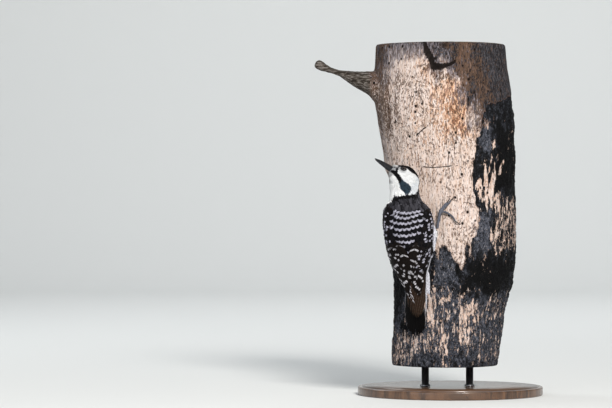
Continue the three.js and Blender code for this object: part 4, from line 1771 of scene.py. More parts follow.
@dataclass
class Tail:
    """Twelve stiff pointed tail feathers pressed to the trunk, the middle pair on top and longest."""

    levels: Rows = ((65.2, -0.7), (79, -0.4), (97.5, 0), (136, 0))
    depths: Rows = ((65.2, 41.4), (79, 36), (97.5, 27.3), (118, 17.5), (136, 8.5))
    tips: tuple[float, ...] = (65.6, 66.4, 68.2, 71.5, 76.5, 86)
    spread: tuple[float, ...] = (1.9, 4.2, 6.5, 8.6, 10.2, 11.2)
    halves: tuple[float, ...] = (2.7, 2.8, 2.8, 2.7, 2.4, 1.5)

    def bed(self, height: Array, across: Array, lift: Array) -> Array:
        """Points on the tail's bent plane, raised towards its upper side.

        Args:
            height: heights.
            across: millimetres from the middle.
            lift: how far above the plane.

        Returns:
            The points.
        """
        x, y = through(height, self.levels), through(height, self.depths)
        slope = (through(height + 3, self.depths) - through(height - 3, self.depths)) / 6
        way = unit(np.stack([0 * slope, 0 * slope - 1, slope], axis=1))
        return np.stack([x + across, y + 0.022 * across**2, height], axis=1) + way * lift[:, None]

    def quills(self) -> Iterable[Quill]:
        """Its feathers, from the outermost pair to the middle pair.

        Returns:
            The feathers in turn.
        """
        for index in range(len(self.tips) - 1, -1, -1):
            kind = QuillKind.BARRED_TAIL if index >= 4 else QuillKind.TAIL
            for side in (-1.0, 1.0):
                tops, tips = side * (1.2 + 0.55 * index), side * self.spread[index]
                lift = 0.75 - 0.3 * index + (0.1 if side > 0 else 0.0)
                yield Quill(130 - index, self.tips[index], tops, tips, self.halves[index], lift, kind, 0.7)

    def build(self, material: Material) -> None:
        """Makes the tail feathers, which stand for the tail's node."""
        maker = QuillMaker(self.bed, 1.0, np.random.default_rng(21), thick=0.34, taper=0.78)
        finish_piece(maker.join("tail_feathers", self.quills()), "plumage_dark", material, "tail")


# ---- head parts and feet


@dataclass
class Bill:
    """A straight chisel bill in two halves with a ridge along the top."""

    tip: float = 38.0
    droop: float = 0.09
    split: float = -0.6
    half: float = 3.3
    upper: float = 3.9
    lower: float = 2.7
    shorter: float = 1.2
    sides: int = 28

    def part(self, depth: float, tip: float, sign: float) -> tuple[Array, Faces, Array]:
        """One half of the bill.

        Args:
            depth: how deep it is at its base.
            tip: where it ends.
            sign: +1 for the upper half and -1 for the lower.

        Returns:
            Its points in the head's axes, its faces, and how far along each point is.
        """
        angle = np.linspace(0, 2 * math.pi, self.sides, endpoint=False)
        across, above = np.cos(angle), np.sin(angle) > 0
        high = np.where(np.sin(angle) >= 0, 1.0, 0.06) * np.sin(angle)
        flat = 1 - 0.12 * np.exp(-(((np.abs(across) - 0.55) / 0.25) ** 2)) * above
        rings = []
        steps = np.linspace(0, 1, 44)
        for along in steps:
            end = max(math.sqrt(max(0.0, 1 - max(0.0, (along - 0.965) / 0.035) ** 2)), 0.05)
            width = (self.half + (0.9 - self.half) * along**1.5) * end
            full = (depth + (0.6 - depth) * along**2.5) * end
            ridge = 0.16 * np.exp(-((across / 0.16) ** 2)) * above * (1 - along)
            ahead = (tip - BILL_BASE) * along
            level = self.split + sign * 0.2 - self.droop * ahead + sign * full * (high * flat + ridge)
            rings.append(np.stack([BILL_BASE + ahead + 0 * across, across * width, level], axis=1))
        points, faces = loft(rings)
        return points, flipped(faces) if sign > 0 else faces, np.array([*steps.repeat(self.sides), 0.0, 1.0])

    def build(self, material: Material) -> None:
        """Makes both halves.

        Args:
            material: the horn's finish.
        """
        for name, node, depth, tip, sign in (
            ("bill_top", "bill_upper", self.upper, self.tip, 1.0),
            ("bill_bottom", "bill_lower", self.lower, self.tip - self.shorter, -1.0),
        ):
            points, faces, along = self.part(depth, tip, sign)
            made = make_piece(name, to_frame(HEAD.outward(points)), faces)
            give(made.data, along=along)
            finish_piece(made, "bill_horn", material, node)


@dataclass
class Eyes:
    """Glass eyes in their sockets and the bare lids round them."""

    opening: float = 39.0
    sides: int = 48
    ball_sides: int = 36
    profile: Rows = (
        (0, 2.9), (5, 3.02), (12, 3.06), (22, 3.0), (34, 2.9), (34, 2.6), (16, 2.7), (2, 2.8),
    )

    def axes(self, side: float) -> tuple[Array, tuple[Array, Array, Array]]:
        """The eye's middle in the head's axes, and two directions across its gaze and the gaze.

        Args:
            side: +1 for the left eye and -1 for the right.

        Returns:
            The middle and the directions.
        """
        gaze = unit(np.array([0.22, side, 0.12]))
        right = unit(np.cross([0.0, 0.0, 1.0], gaze))
        return EYE_AT * (1, side, 1), (right, np.cross(gaze, right), gaze)

    def sphere(self, side: float) -> tuple[Array, Faces, Array]:
        """The eyeball with a cornea that stands a little proud.

        Args:
            side: +1 for the left eye and -1 for the right.

        Returns:
            Its points, its faces, and how many degrees each point is from the gaze.
        """
        turns = np.linspace(2.0, 178.0, 40)
        out = EYE_RADIUS + 0.14 * ease(turns, 38, 12)
        profile = np.stack([np.sin(np.radians(turns)) * out, np.cos(np.radians(turns)) * out], axis=1)
        points, faces = turned(profile, *self.axes(side), self.ball_sides)
        return points, flipped(faces), np.array([*turns.repeat(self.ball_sides), 0.0, 180.0])

    def lid(self, side: float) -> tuple[Array, Faces]:
        """A closed ring of bare skin round the opening.

        Args:
            side: +1 for the left eye and -1 for the right.

        Returns:
            Its points and its faces.
        """
        centre, (right, up, gaze) = self.axes(side)
        points = []
        for spin in np.linspace(0, 2 * math.pi, self.sides, endpoint=False):
            way = math.cos(spin) * right + math.sin(spin) * up
            wide = self.opening + 3.5 * math.cos(2 * spin)
            for turn, out in self.profile:
                angle = math.radians(wide + turn)
                out += 0.03 * math.sin(spin * 22)
                points.append(centre + out * (math.cos(angle) * gaze + math.sin(angle) * way))
        count, faces = len(self.profile), []
        for low in range(0, len(points), count):
            after = (low + count) % len(points)
            for step in range(count):
                other = (step + 1) % count
                faces.append((low + step, low + other, after + other, after + step))
        return np.array(points), faces

    def build(self, eye: Material, skin: Material) -> None:
        """Makes eyes and lids.

        Args:
            eye: the eyes' finish.
            skin: the lids'.
        """
        for side, name in ((1.0, "left"), (-1.0, "right")):
            points, faces, turns = self.sphere(side)
            made = make_piece(f"eyeball_{name}", to_frame(HEAD.outward(points)), faces)
            give(made.data, turn=turns)
            finish_piece(made, "eye", eye, f"eye_{name}")
            points, faces = self.lid(side)
            made = make_piece(f"eyelid_{name}", to_frame(HEAD.outward(points)), faces)
            finish_piece(made, "leg_skin", skin)


def ball(centre: Array, radius: float) -> Shell:
    """A closed ball round a centre, of triangles.

    Args:
        centre: its middle.
        radius: its radius.

    Returns:
        The shell.
    """
    turns = np.linspace(0.15, math.pi - 0.15, 10)
    points, faces = turned(np.stack([np.sin(turns), np.cos(turns)], axis=1) * radius, centre, np.eye(3), 16)
    corners = [(face[0], face[step], face[step + 1]) for face in faces for step in range(1, len(face) - 1)]
    return Shell(points, np.array(corners)[:, ::-1])


@dataclass
class Feet:
    """Shins and toes in one scaled skin each side, and their claws."""

    scute: float = 1.05
    joint: float = 1.45
    swell: float = 0.16
    sunk: float = 0.14
    face: float = 0.3
    claw_face: float = 0.15
    toes: tuple[int, ...] = (1, 2, 3, 4)

    def build(self, side: str, skin: Material, horn: Material) -> None:
        """Makes one foot.

        Args:
            side: left or right.
            skin: the scales' finish.
            horn: the claws'.
        """
        names = [f"tarsus_{side}"] + [f"toe_{side}_{toe}" for toe in self.toes]
        parts = [bird_shell(name) for name in names]
        trees = [part.tree() for part in parts]
        swollen = [part.swollen(self.swell) for part in parts]
        for toe in parts[1:]:
            near = min(toe.points.tolist(), key=lambda point: trees[0].find_nearest(point)[3])
            swollen.append(ball((np.array(near) + np.array(trees[0].find_nearest(near)[0])) / 2, self.joint))
        knee = parts[0].points[parts[0].points[:, 2].argmax()] + (0, 0, 0.4)
        shell = remeshed([*swollen, ball(knee, self.joint + 0.4)], self.face, "foot_scratch").smoothed(4)
        normals = shell.normals()
        points = shell.points - normals * self.sunk
        gaps = [[tree.find_nearest(point)[3] for tree in trees] for point in points.tolist()]
        owner = np.argmin(gaps, axis=1)
        along = np.zeros(len(points))
        for index, part in enumerate(parts):
            middle = part.points.mean(axis=0)
            way = np.linalg.svd(part.points - middle)[2][0]
            along[owner == index] = (points[owner == index] - middle) @ way
        ring = np.abs((along / self.scute) % 1 - 0.5) * 2
        points = points + normals * (0.07 * ease(ring, 1.0, 0.55) - 0.04)[:, None]
        made = make_piece(f"foot_{side}", to_frame(points), shell.faces)
        give(made.data, scute=along / self.scute)
        finish_piece(made, "leg_skin", skin, *names)
        claws = [f"claw_{side}_{toe}" for toe in self.toes]
        nails = remeshed([bird_shell(name) for name in claws], self.claw_face, "claw_scratch")
        nails = nails.smoothed(2).swollen(0.03)
        made = make_piece(f"claws_{side}", to_frame(nails.points), nails.faces)
        finish_piece(made, "claw_horn", horn, *claws)


# ---- snag and stand


Zones = tuple[tuple[float, float, float, float, float], ...]


@dataclass
class Snag:
    """The length of barkless, charred trunk: its grain, char blocks, flap of loose wood and branch stub.

    A zone is its left, right, foot and head in millimetres, and the value inside.
    """

    face: float = 1.56
    foot: float = 32.0
    head: float = 378.0
    waist_depth: float = 3.4
    deepest: float = -4.5
    proudest: float = 3.2
    bird_gap: float = 0.35
    centre: Rows = (
        (32, -5), (60, -3), (91, -1.5), (112, 1.5), (134, 3.2), (190, 1.7), (250, -0.3), (285, -2.5),
        (306, -5.5), (330, -8), (378, -10),
    )
    burn_edge: Rows = (
        (32, 40), (70, 30), (90, 22), (104, -20), (124, -110), (131, -120), (133, 4), (145, 13), (157, 15.5),
        (173, 17), (194, 19), (210, 23), (220, 20), (231, 15), (252, 19), (273, 20), (294, 24), (306, 33),
        (313, 44), (318, 62), (330, 105), (345, 130), (378, 150),
    )
    low_burn: Rows = (
        (-180, 150), (-120, 172), (-70, 170), (-40, 166), (-22, 161), (-5, 158), (0, 151), (3.5, 139),
        (8, 130), (12, 126), (18, 128), (180, 128),
    )
    bare: Zones = (
        (-80, 80, 32, 160, 0.4), (19, 40, 149, 200, 0.1), (40, 72, 149, 214, 0.5),
        (44, 72, 226, 300, 0.0), (12, 72, 114, 149, 0.0), (-22, 11, 118, 162, 0.12),
        (-28, -16, 74, 120, 0.6), (-13, 8, 84, 111, 0.46), (9, 18, 44, 96, 0.64),
        (-62, -8, 32, 72, 0.5), (-66, -54, 76, 128, 0.05), (32, 38, 222, 262, 0.8),
        (34, 44, 202, 236, 0.8), (26, 46, 284, 302, 0.62),
    )
    glint: Zones = (
        (-80, 80, 32, 120, 0.85), (19, 40, 149, 197, 1.0), (-22, 11, 115, 162, 0.9),
        (12, 72, 114, 149, 0.0), (44, 72, 226, 290, 0.0), (22, 40, 262, 286, 1.0),
        (-66, -54, 76, 128, 0.1),
    )
    rust: Zones = (
        (-26, 25, 268, 349, 0.6), (-5, 15, 282, 335, 0.95), (-38, -22, 354, 374, 0.7),
        (-60, 26, 232, 268, 0.3), (-48, -28, 282, 306, 0.4), (4, 14, 180, 232, 0.3),
    )
    # Grey zones: weathered grey over the top; the last two, down the trunk's left side, are painted shade.
    grey: Zones = (
        (-140, 140, 353, 460, 0.98), (-140, -62, 330, 460, 1.0), (-28, 16, 347, 460, 1.06),
        (4, 40, 322, 460, 1.1), (22, 140, 292, 460, 1.25), (-140, -60, 60, 330, 0.62),
        (-62, -30, 150, 356, 0.24),
    )
    # Brown zones: how thick the dark flecks and brown rot lie; the zone at -90 to -64 is the stub's painted
    # shadow, and the last, down the left side, is painted shade.
    brown: Zones = (
        (-62, -28, 300, 350, 0.62), (-26, 4, 331, 350, 0.95), (8, 36, 318, 350, 0.8),
        (17, 40, 280, 332, 0.9), (-30, 24, 284, 332, 0.55), (-90, -64, 286, 330, 1.0),
        (-56, 22, 262, 288, 0.62), (-66, 24, 232, 262, 0.5), (-10, 22, 196, 232, 0.52),
        (-80, -50, 32, 128, 0.6), (-16, 24, 128, 192, 0.58), (-4, 26, 340, 460, 1.0),
        (-140, -71, 60, 460, 0.9),
    )
    grain: Grain = field(default_factory=lambda: Grain(8))

    def zoned(self, points: Array, zones: Zones, base: float, shift: float, soft: float) -> Array:
        """A value spread over the trunk by ragged zones, each laid over the ones before.

        Args:
            points: where.
            zones: the zones.
            base: the value where no zone lies.
            shift: sets the raggedness off from another's.
            soft: half of how wide a zone's edge is, in millimetres.

        Returns:
            The value at each point.
        """
        rag = self.grain.rough(points, (9, 9, 22), shift) * 34
        rag += self.grain.rough(points, (3.2, 3.2, 10), shift * 2) * 20
        value = np.full(len(points), base)
        for left, right, foot, head, strength in zones:
            across = np.minimum(points[:, 0] - left, right - points[:, 0])
            up = np.minimum(points[:, 2] - foot, head - points[:, 2])
            value += (strength - value) * ease(np.minimum(across, up * 0.7) + rag, -soft, soft)
        return value

    def polar(self, points: Array) -> tuple[Array, Array]:
        """Degrees round the trunk from the front, and distance from its axis."""
        x = points[:, 0] - through(points[:, 2], self.centre)
        return np.degrees(np.arctan2(x, -points[:, 1])), np.hypot(x, points[:, 1])

    def burn(self, points: Array) -> Array:
        """How charred the wood is, 0 to 1; between, pale streaks show through.

        Args:
            points: where.

        Returns:
            The char at each point.
        """
        turn, height = self.polar(points)[0], points[:, 2]
        wobble = self.grain.rough(points, (14, 14, 30)) * 34 + self.grain.rough(points, (4, 4, 12), 4.4) * 22
        right = (through(height, self.burn_edge) - turn) * 1.2
        right = np.where(turn > 150, np.maximum(right, (turn - 168) * 1.2), right)
        gap = np.minimum(right, height - through(turn, self.low_burn)) + wobble
        lace = ease(self.grain.rough(points, (9, 9, 34), 5.1), -0.04, 0.16)
        return np.clip(0.5 - gap / 11, 0, 1) * (1 - 0.2 * lace)

    def shape(self, points: Array, burnt: Array) -> Array:
        """How far the surface stands out or in.

        Args:
            points: where.
            burnt: how charred it is there.

        Returns:
            The height of each point, in millimetres.
        """
        turn, height = self.polar(points)[0], points[:, 2]
        moved = 0.75 * self.grain.rough(points, (2.4, 2.4, 26), count=2)
        moved += 1.5 * self.grain.rough(points, (9, 9, 70), 3.3)
        moved += 1.3 * self.grain.rough(points, (16, 16, 22), 9.1)
        bent = points.copy()
        for axis, (size, shift) in enumerate(((7.0, 1.3), (7.0, 5.9), (11.0, 8.8))):
            bent[:, axis] += 13.0 * self.grain.rough(points, size, shift)
        blocks = self.grain.cracks(bent / (7.5, 7.5, 17) + 1.7)
        small = self.grain.cracks(bent / (4.2, 4.2, 8.5) + 6.2)
        char = ease(burnt, 0.38, 0.62)
        eaten = 1.2 * ease(blocks, 0.22, 0.02) + 0.4 * ease(small, 0.2, 0.03) + 0.7
        eaten -= 2.4 * self.grain.rough(bent, (6, 6, 11), 3.9)
        moved -= char * (1 - 0.85 * self.zoned(points, self.bare, 0.3, 0.0, 5.0)) * eaten
        waist = ease(height, 246, 232) * ease(height, 150, 172) * ease(turn, -62, -80)
        moved -= self.waist_depth * waist * ease(turn, -150, -115)
        moved += char * 1.8 * self.grain.rough(points, (5, 5, 18), 2.2)
        flap_x, flap_z = (turn + 2) / 9.5, (height - 363) / 11.5
        flap = ease(np.hypot(flap_x, flap_z + 0.35 * np.abs(flap_x)), 1.05, 0.9) * ease(flap_z, 1.6, -0.4)
        hollow = ease(np.hypot((turn + 1) / 6, (height - 377) / 9), 1.1, 0.3)
        under = ease(np.hypot(flap_x, (height - 350.5) / 3.2), 1.0, 0.5)
        stub_root = ease(np.hypot((turn + 68) / 16, (height - 318) / 26), 1.1, 0.4)
        return moved + 2.6 * flap - 4.5 * hollow - 1.6 * under + 0.8 * stub_root

    def build(self, material: Material) -> None:
        """Makes the trunk and its stub.

        Args:
            material: the wood's finish.
        """
        shell = remeshed([frame_shell("perch_trunk")], self.face, "snag_scratch")
        height = shell.points[:, 2]
        ends = (np.abs(shell.normals()[:, 2]) > 0.92) & ((height < self.foot + 2) | (height > self.head - 3))
        shell = shell.smoothed(4, np.where(ends, 0.0, 1.0))
        points, normals = shell.points, shell.smoothed(6).normals()
        turn, out = self.polar(points)
        burnt, stub = self.burn(points), ease(out, 78, 84)
        near_bird = ease(np.hypot(turn + 30, (points[:, 2] - 130) * 0.7), 60, 30)
        rim = ease(points[:, 2], self.foot + 0.2, self.foot + 4)
        rim = rim * ease(points[:, 2], self.head - 0.2, self.head - 4)
        moved = self.shape(points, burnt * (1 - stub)) * (1 - 0.3 * stub)
        moved = np.clip(np.where(ends, 0.0, moved * (0.35 + 0.65 * rim)), self.deepest, self.proudest)
        spare = moved - self.bird_gap
        moved = np.where(spare > 0, self.bird_gap + spare * (1 - near_bird), moved)
        normals[:, 2] *= np.where(ends, 0.0, rim)
        final = points + normals * moved[:, None]
        final[:, 2] = np.where(ends, points[:, 2], np.clip(final[:, 2], self.foot, self.head))
        made = make_piece("snag", final / METRE, shell.faces)
        # deep: how far the surface is sunk; the finish darkens it there as painted shade.
        give(made.data, burnt=np.maximum(burnt * (1 - stub), 0), stub=stub, deep=np.clip(-moved / 4, 0, 1))
        give(made.data, turn=turn / 180, cut=ends * 1.0, out=out / 10)
        for name, base, shift, soft in (
            ("bare", 0.14, 0.0, 5.0), ("glint", 0.5, 3.7, 5.0), ("rust", 0.12, 7.4, 9.0),
            ("grey", 0.3, 11.1, 15.0), ("brown", 0.35, 14.8, 11.0),
        ):
            give(made.data, **{name: self.zoned(points, getattr(self, name), base, shift, soft)})
        finish_piece(made, "snag_wood", material, "perch_trunk")


@dataclass
class Stand:
    """A turned wooden base with a bead round it, and two steel rods into the trunk's cut foot."""

    edge: float = 1.5
    collar: float = 1.6
    quarter: float = 1.57
    base_sides: int = 160
    rod_sides: int = 48

    def piece(self, name: str, profile: Rows, centre: Array, sides: int) -> Piece:
        """A piece turned round a vertical axis through centre; its profile is rows of radius and height."""
        points, faces = turned(profile, centre * (1, 1, 0), np.eye(3), sides)
        return make_piece(name, points / METRE, faces)

    def build(self, wood: Material, steel: Material) -> None:
        """Makes the base and rods.

        Args:
            wood: the base's finish.
            steel: the rods'.
        """
        low, high = (np.array(corner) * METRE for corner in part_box("stand_base"))
        radius, top, edge = (high[0] - low[0]) / 2, high[2], self.edge
        profile = [(2.0, 0.0), (radius * 0.6, 0.0)]
        for angle in np.linspace(0, self.quarter, 6):
            profile.append((radius - 1.6 + edge * math.sin(angle), edge - edge * math.cos(angle)))
        for angle in np.linspace(0, self.quarter, 8):
            profile.append((radius - edge + edge * math.cos(angle), top - edge + edge * math.sin(angle)))
        for angle in np.linspace(0, math.pi, 9):
            profile.append((radius - 4 - 0.9 * math.sin(angle), top - 0.5 * math.sin(angle)))
        profile += [(radius * 0.5, top), (2.0, top)]
        made = self.piece("base_disc", profile, np.zeros(3), self.base_sides)
        finish_piece(made, "base_wood", wood, "stand_base")
        for side in ("left", "right"):
            low, high = (np.array(corner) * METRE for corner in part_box(f"stand_rod_{side}"))
            half, foot, collar, top = (high[0] - low[0]) / 2, low[2], low[2] + self.collar, high[2]
            profile = (
                (0.6, foot), (half + 1.4, foot), (half + 1.6, foot + 0.3), (half + 1.6, collar - 0.4),
                (half + 1.2, collar), (half, collar + 0.2), (half, top), (0.6, top),
            )
            made = self.piece(f"rod_{side}", profile, (low + high) / 2, self.rod_sides)
            finish_piece(made, "rod_steel", steel, f"stand_rod_{side}")


# ---- finishes


TURN = 6.2832
BLACK = (0.0, 0.0, 0.0)


@dataclass(frozen=True)
class PlumageFinish:
    """Small feathers: black with a cold sheen or white, a bar or a spot near the tip, and fine barbs."""

    ink: Colour = (0.0035, 0.0034, 0.0045)
    brown: Colour = (0.027, 0.017, 0.012)
    snow: Colour = (0.88, 0.885, 0.885)
    lilac: Colour = (0.43, 0.42, 0.5)
    cream: Colour = (0.80, 0.72, 0.62)

    def material(self) -> Material:
        """Builds the material.

        Returns:
            The material.
        """
        desk = ShaderDesk("plumage", Specular_IOR_Level=0.035, Sheen_Weight=0.02, Sheen_Roughness=0.4)
        names = ("white", "age", "warm", "vane_side", "vane_along")
        white, age, warm, side, along = map(desk.attribute, names)
        rag = desk.noise(0.9, 2.0)
        wave = (rag - 0.5) * 0.2
        bar = (along + 0.07 * side * side + wave * 0.5).band(0.8, 0.09, 0.045) * desk.attribute("bar")
        out = ((abs(side) + wave) / 0.64) ** 2 + ((along - 0.8 + wave * 0.5) / 0.15) ** 2
        spot = out.step(1.2, 0.7) * desk.attribute("spot")
        tone = white.most(bar * 0.84).most(spot * 0.84)
        barbs = ((along * 26.0 + abs(side) * 5.0) * TURN + age * 9.0).sine()
        fine = desk.noise((0.35, 0.35, 1.1), 2.0)
        worn = desk.noise((2.6, 2.6, 3.4), 2.0)
        dark = desk.over(
            self.ink,
            (warm * 0.5 + age * 0.08, self.brown),
            # Painted sheen: black feathers whose warm is below 0 get a blue-grey gloss in their colour.
            (warm.step(-0.2, -0.8), (0.024, 0.04, 0.056)),
            (fine.step(0.5, 0.75) * 0.15, (0.02, 0.018, 0.022)),
        )
        light = desk.over(
            self.snow,
            (worn.step(0.35, 0.8) * 0.16 + warm.step(0.0, 1.0) * 0.7, self.cream),
            # Painted cool shade: white feathers whose warm is below 0 turn blue-grey.
            (warm.step(-0.05, -0.6) * 0.75, (0.6, 0.67, 0.76)),
            ((1 - along) * 0.3 + fine.step(0.6, 0.3) * 0.12, (0.5, 0.51, 0.55)),
            (bar.most(spot * 0.6).most(white.step(0.5, 0.12)), self.lilac),
        )
        colour = desk.over(dark, (tone, light), (1 - (0.9 + 0.1 * barbs), BLACK))
        height = barbs * 0.5 + fine * 0.8 + (1 - abs(side)) * 0.3
        rough = 0.5 + 0.22 * tone + 0.08 * fine
        return desk.done(Base_Color=colour, Roughness=rough, Normal=desk.bump(height, 0.00006, 0.55))


@dataclass(frozen=True)
class SkinFinish:
    """What shows between small feathers: down in the same markings."""

    ink: Colour = (0.006, 0.006, 0.007)
    down: Colour = (0.7, 0.7, 0.71)

    def material(self) -> Material:
        """Builds the material.

        Returns:
            The material.
        """
        desk = ShaderDesk("down_skin", Specular_IOR_Level=0.05)
        fine = desk.noise((0.3, 0.3, 0.9))
        patch = desk.noise((2.0, 2.0, 4.0), 2.0)
        light = desk.over(self.down, (patch.step(0.3, 0.8) * 0.4 + fine * 0.15, (0.46, 0.46, 0.48)))
        dark = desk.over(self.ink, (fine * 0.3, (0.02, 0.017, 0.018)))
        colour = desk.over(dark, (desk.attribute("white"), light))
        return desk.done(Base_Color=colour, Roughness=0.8 + 0.1 * fine, Normal=desk.bump(fine, 0.0002, 0.6))


@dataclass(frozen=True)
class QuillFinish:
    """Flight feathers: brown-black vanes with white spots along their webs, barbs, and pale worn rims."""

    ink: Colour = (0.0032, 0.0028, 0.003)
    brown: Colour = (0.034, 0.019, 0.0115)
    snow: Colour = (0.6, 0.58, 0.62)
    jet: Colour = (0.0022, 0.0021, 0.0023)

    def tones(self, desk: ShaderDesk, rag: Signal) -> tuple[Signal, ...]:
        """Which kind a feather is, and how white its spots, dashes, chevrons and edges make it.

        Args:
            desk: the maker.
            rag: the raggedness of a mark's edge.

        Returns:
            Masks for primaries, for tail feathers and for plumes, and the whiteness.
        """
        names = ("vane_side", "vane_along", "reach", "from_edge", "age", "kind")
        side, along, reach, edge, age, kind = map(desk.attribute, names)
        first, tail, plume = kind.step(0.4, 0.2), kind.band(2.5, 0.8, 0.1), kind.band(4.0, 0.3, 0.1)
        count = (reach + 2.6 * abs(side)) / 7.6 + age * 0.6 + rag * 0.22
        luck = (count.floor() * 0.618 + age * 5.1).fraction()
        chevron = count.fraction().band(0.5, 0.12, 0.06) * luck.step(0.3, 0.34) * (0.55 + 0.45 * luck)
        chevron = chevron * kind.step(4.6, 4.8) * (abs(side) + rag * 0.15).band(0.5, 0.42, 0.06)
        chevron = chevron * along.step(0.1, 0.2)
        count = reach / 7.8 + age * 0.75 + rag * 0.24
        luck = (count.floor() * 0.618 + age * 7.3).fraction()
        spot = count.fraction().band(0.5, 0.15, 0.06) * (side + rag * 0.2).band(0.62, 0.34, 0.1)
        spot = spot * kind.band(1.0, 0.3, 0.1) * along.step(0.12, 0.2)
        spot = spot * luck.step(0.42, 0.46) * (0.5 + 0.4 * luck)
        dash = (reach / 4.2 + age * 0.8).fraction().band(0.5, 0.3, 0.05) * edge.band(0.5, 0.36, 0.08)
        dash = dash * side.step(0.0, 0.2) * first * along.step(0.4, 0.5) * along.step(0.99, 0.95)
        dash = dash * (0.05 + 1.15 * kind.step(-0.4, -0.8))
        rim = edge.step(0.4, 0.2) * kind.band(3.0, 0.3, 0.1) * 0.3
        return first, tail, plume, spot.most(dash).most(rim).most(plume * 1.0).most(chevron * 0.66)

    def material(self) -> Material:
        """Builds the material.

        Returns:
            The material.
        """
        desk = ShaderDesk("flight_feathers", Specular_IOR_Level=0.04)
        side, along, edge = map(desk.attribute, ("vane_side", "vane_along", "from_edge"))
        rag = desk.noise(0.8, 2.0) - 0.5
        first, tail, plume, tone = self.tones(desk, rag)
        barbs = ((along * 52.0 + abs(side) * 4.0) * TURN).sine()
        fine = desk.noise((0.5, 0.5, 3.5))
        shaft = abs(side).step(0.1, 0.05)
        dark = desk.over(
            self.ink,
            (0.05 + first * 0.75 * along.step(0.3, 0.9) + fine * 0.12, self.brown),
            (edge.step(0.42, 0.12) * along.step(0.35, 0.9) * first * 0.3, (0.15, 0.095, 0.06)),
            (shaft * 0.5, (0.003, 0.003, 0.003)),
            (fine.step(0.5, 0.75) * (0.1 + 0.15 * first), (0.045, 0.034, 0.028)),
            (tail * (0.8 + 0.2 * fine), self.jet),
        )
        silk = desk.over((0.74, 0.735, 0.79), ((fine + rag * 0.6).step(0.35, 0.7), (0.3, 0.305, 0.36)))
        light = desk.over(self.snow, (fine * 0.3, (0.5, 0.48, 0.5)), (plume, silk))
        colour = desk.over(dark, (tone, light), ((1 - barbs) * 0.06, BLACK))
        normal = desk.bump(barbs * 0.6 + fine * 0.8 + shaft * 1.2, 0.00006, 0.6)
        return desk.done(Base_Color=colour, Roughness=0.48 + 0.2 * tone + 0.12 * fine, Normal=normal)


@dataclass(frozen=True)
class HornFinish:
    """Bill and claws: dark horn, paler on worn edges, with long fine growth lines."""

    name: str
    dark: Colour
    pale: Colour
    polish: float

    def material(self) -> Material:
        """Builds the material.

        Returns:
            The material.
        """
        desk = ShaderDesk(self.name, Specular_IOR_Level=0.18, Coat_Roughness=0.25)
        streak, cloud = desk.noise(0.5, 4.0, 0.6, 0.4), desk.noise(3.0, 2.0)
        scuff = desk.noise((0.16, 0.16, 0.9), 2.0)
        colour = desk.over(
            self.dark,
            (cloud.step(0.35, 0.75) * 0.6 + streak * 0.2, self.pale),
            (desk.attribute("along").step(0.86, 1.0) * 0.2, (0.1, 0.09, 0.08)),
        )
        rough = self.polish + 0.2 * scuff + 0.1 * cloud
        normal = desk.bump(streak * 0.8 + scuff * 0.5, 0.00008, 0.5)
        return desk.done(Base_Color=colour, Roughness=rough, Coat_Weight=0.1 + cloud * 0.2, Normal=normal)


@dataclass(frozen=True)
class EyeFinish:
    """A glass eye: black pupil, dark brown iris with spokes, near-black beyond, under a clear coat."""

    iris: Colour = (0.022, 0.011, 0.006)

    def material(self) -> Material:
        """Builds the material.

        Returns:
            The material.
        """
        desk = ShaderDesk("glass_eye", Specular_IOR_Level=0.1, Coat_Roughness=0.04, Coat_IOR=1.5)
        turn, spokes = desk.attribute("turn"), desk.noise(0.25)
        iris = desk.over(self.iris, (spokes.step(0.3, 0.7), (0.006, 0.004, 0.003)))
        beyond, white = (turn + spokes * 3.0).step(22.0, 25.0), turn.step(40.0, 46.0)
        colour = desk.over((0.003, 0.003, 0.003), (beyond, iris), (white, (0.008, 0.006, 0.006)))
        return desk.done(Base_Color=colour, Roughness=0.08 + spokes * 0.04, Coat_Weight=0.9 + spokes * 0.1)


@dataclass(frozen=True)
class ScaleFinish:
    """Bare skin of feet and lids: blue-grey, with darker grooves between its scutes."""

    name: str
    base: Colour
    groove: Colour

    def material(self) -> Material:
        """Builds the material.

        Returns:
            The material.
        """
        desk = ShaderDesk(self.name, Specular_IOR_Level=0.4)
        ring = abs(desk.attribute("scute").fraction() - 0.5) * 2
        grit, cloud = desk.noise(0.22), desk.noise(1.8, 2.0)
        pebble, _ = desk.cells(desk.spot(0.45))
        colour = desk.over(
            self.base,
            (cloud.step(0.3, 0.75), tuple(1.7 * part for part in self.base)),
            (ring.step(0.7, 1.0) * 0.75 + grit * 0.2, self.groove),
        )
        normal = desk.bump(ring.step(1.0, 0.6) + pebble * 0.6 + grit * 0.4, 0.00009, 0.6)
        return desk.done(Base_Color=colour, Roughness=0.5 + 0.25 * grit, Normal=normal)


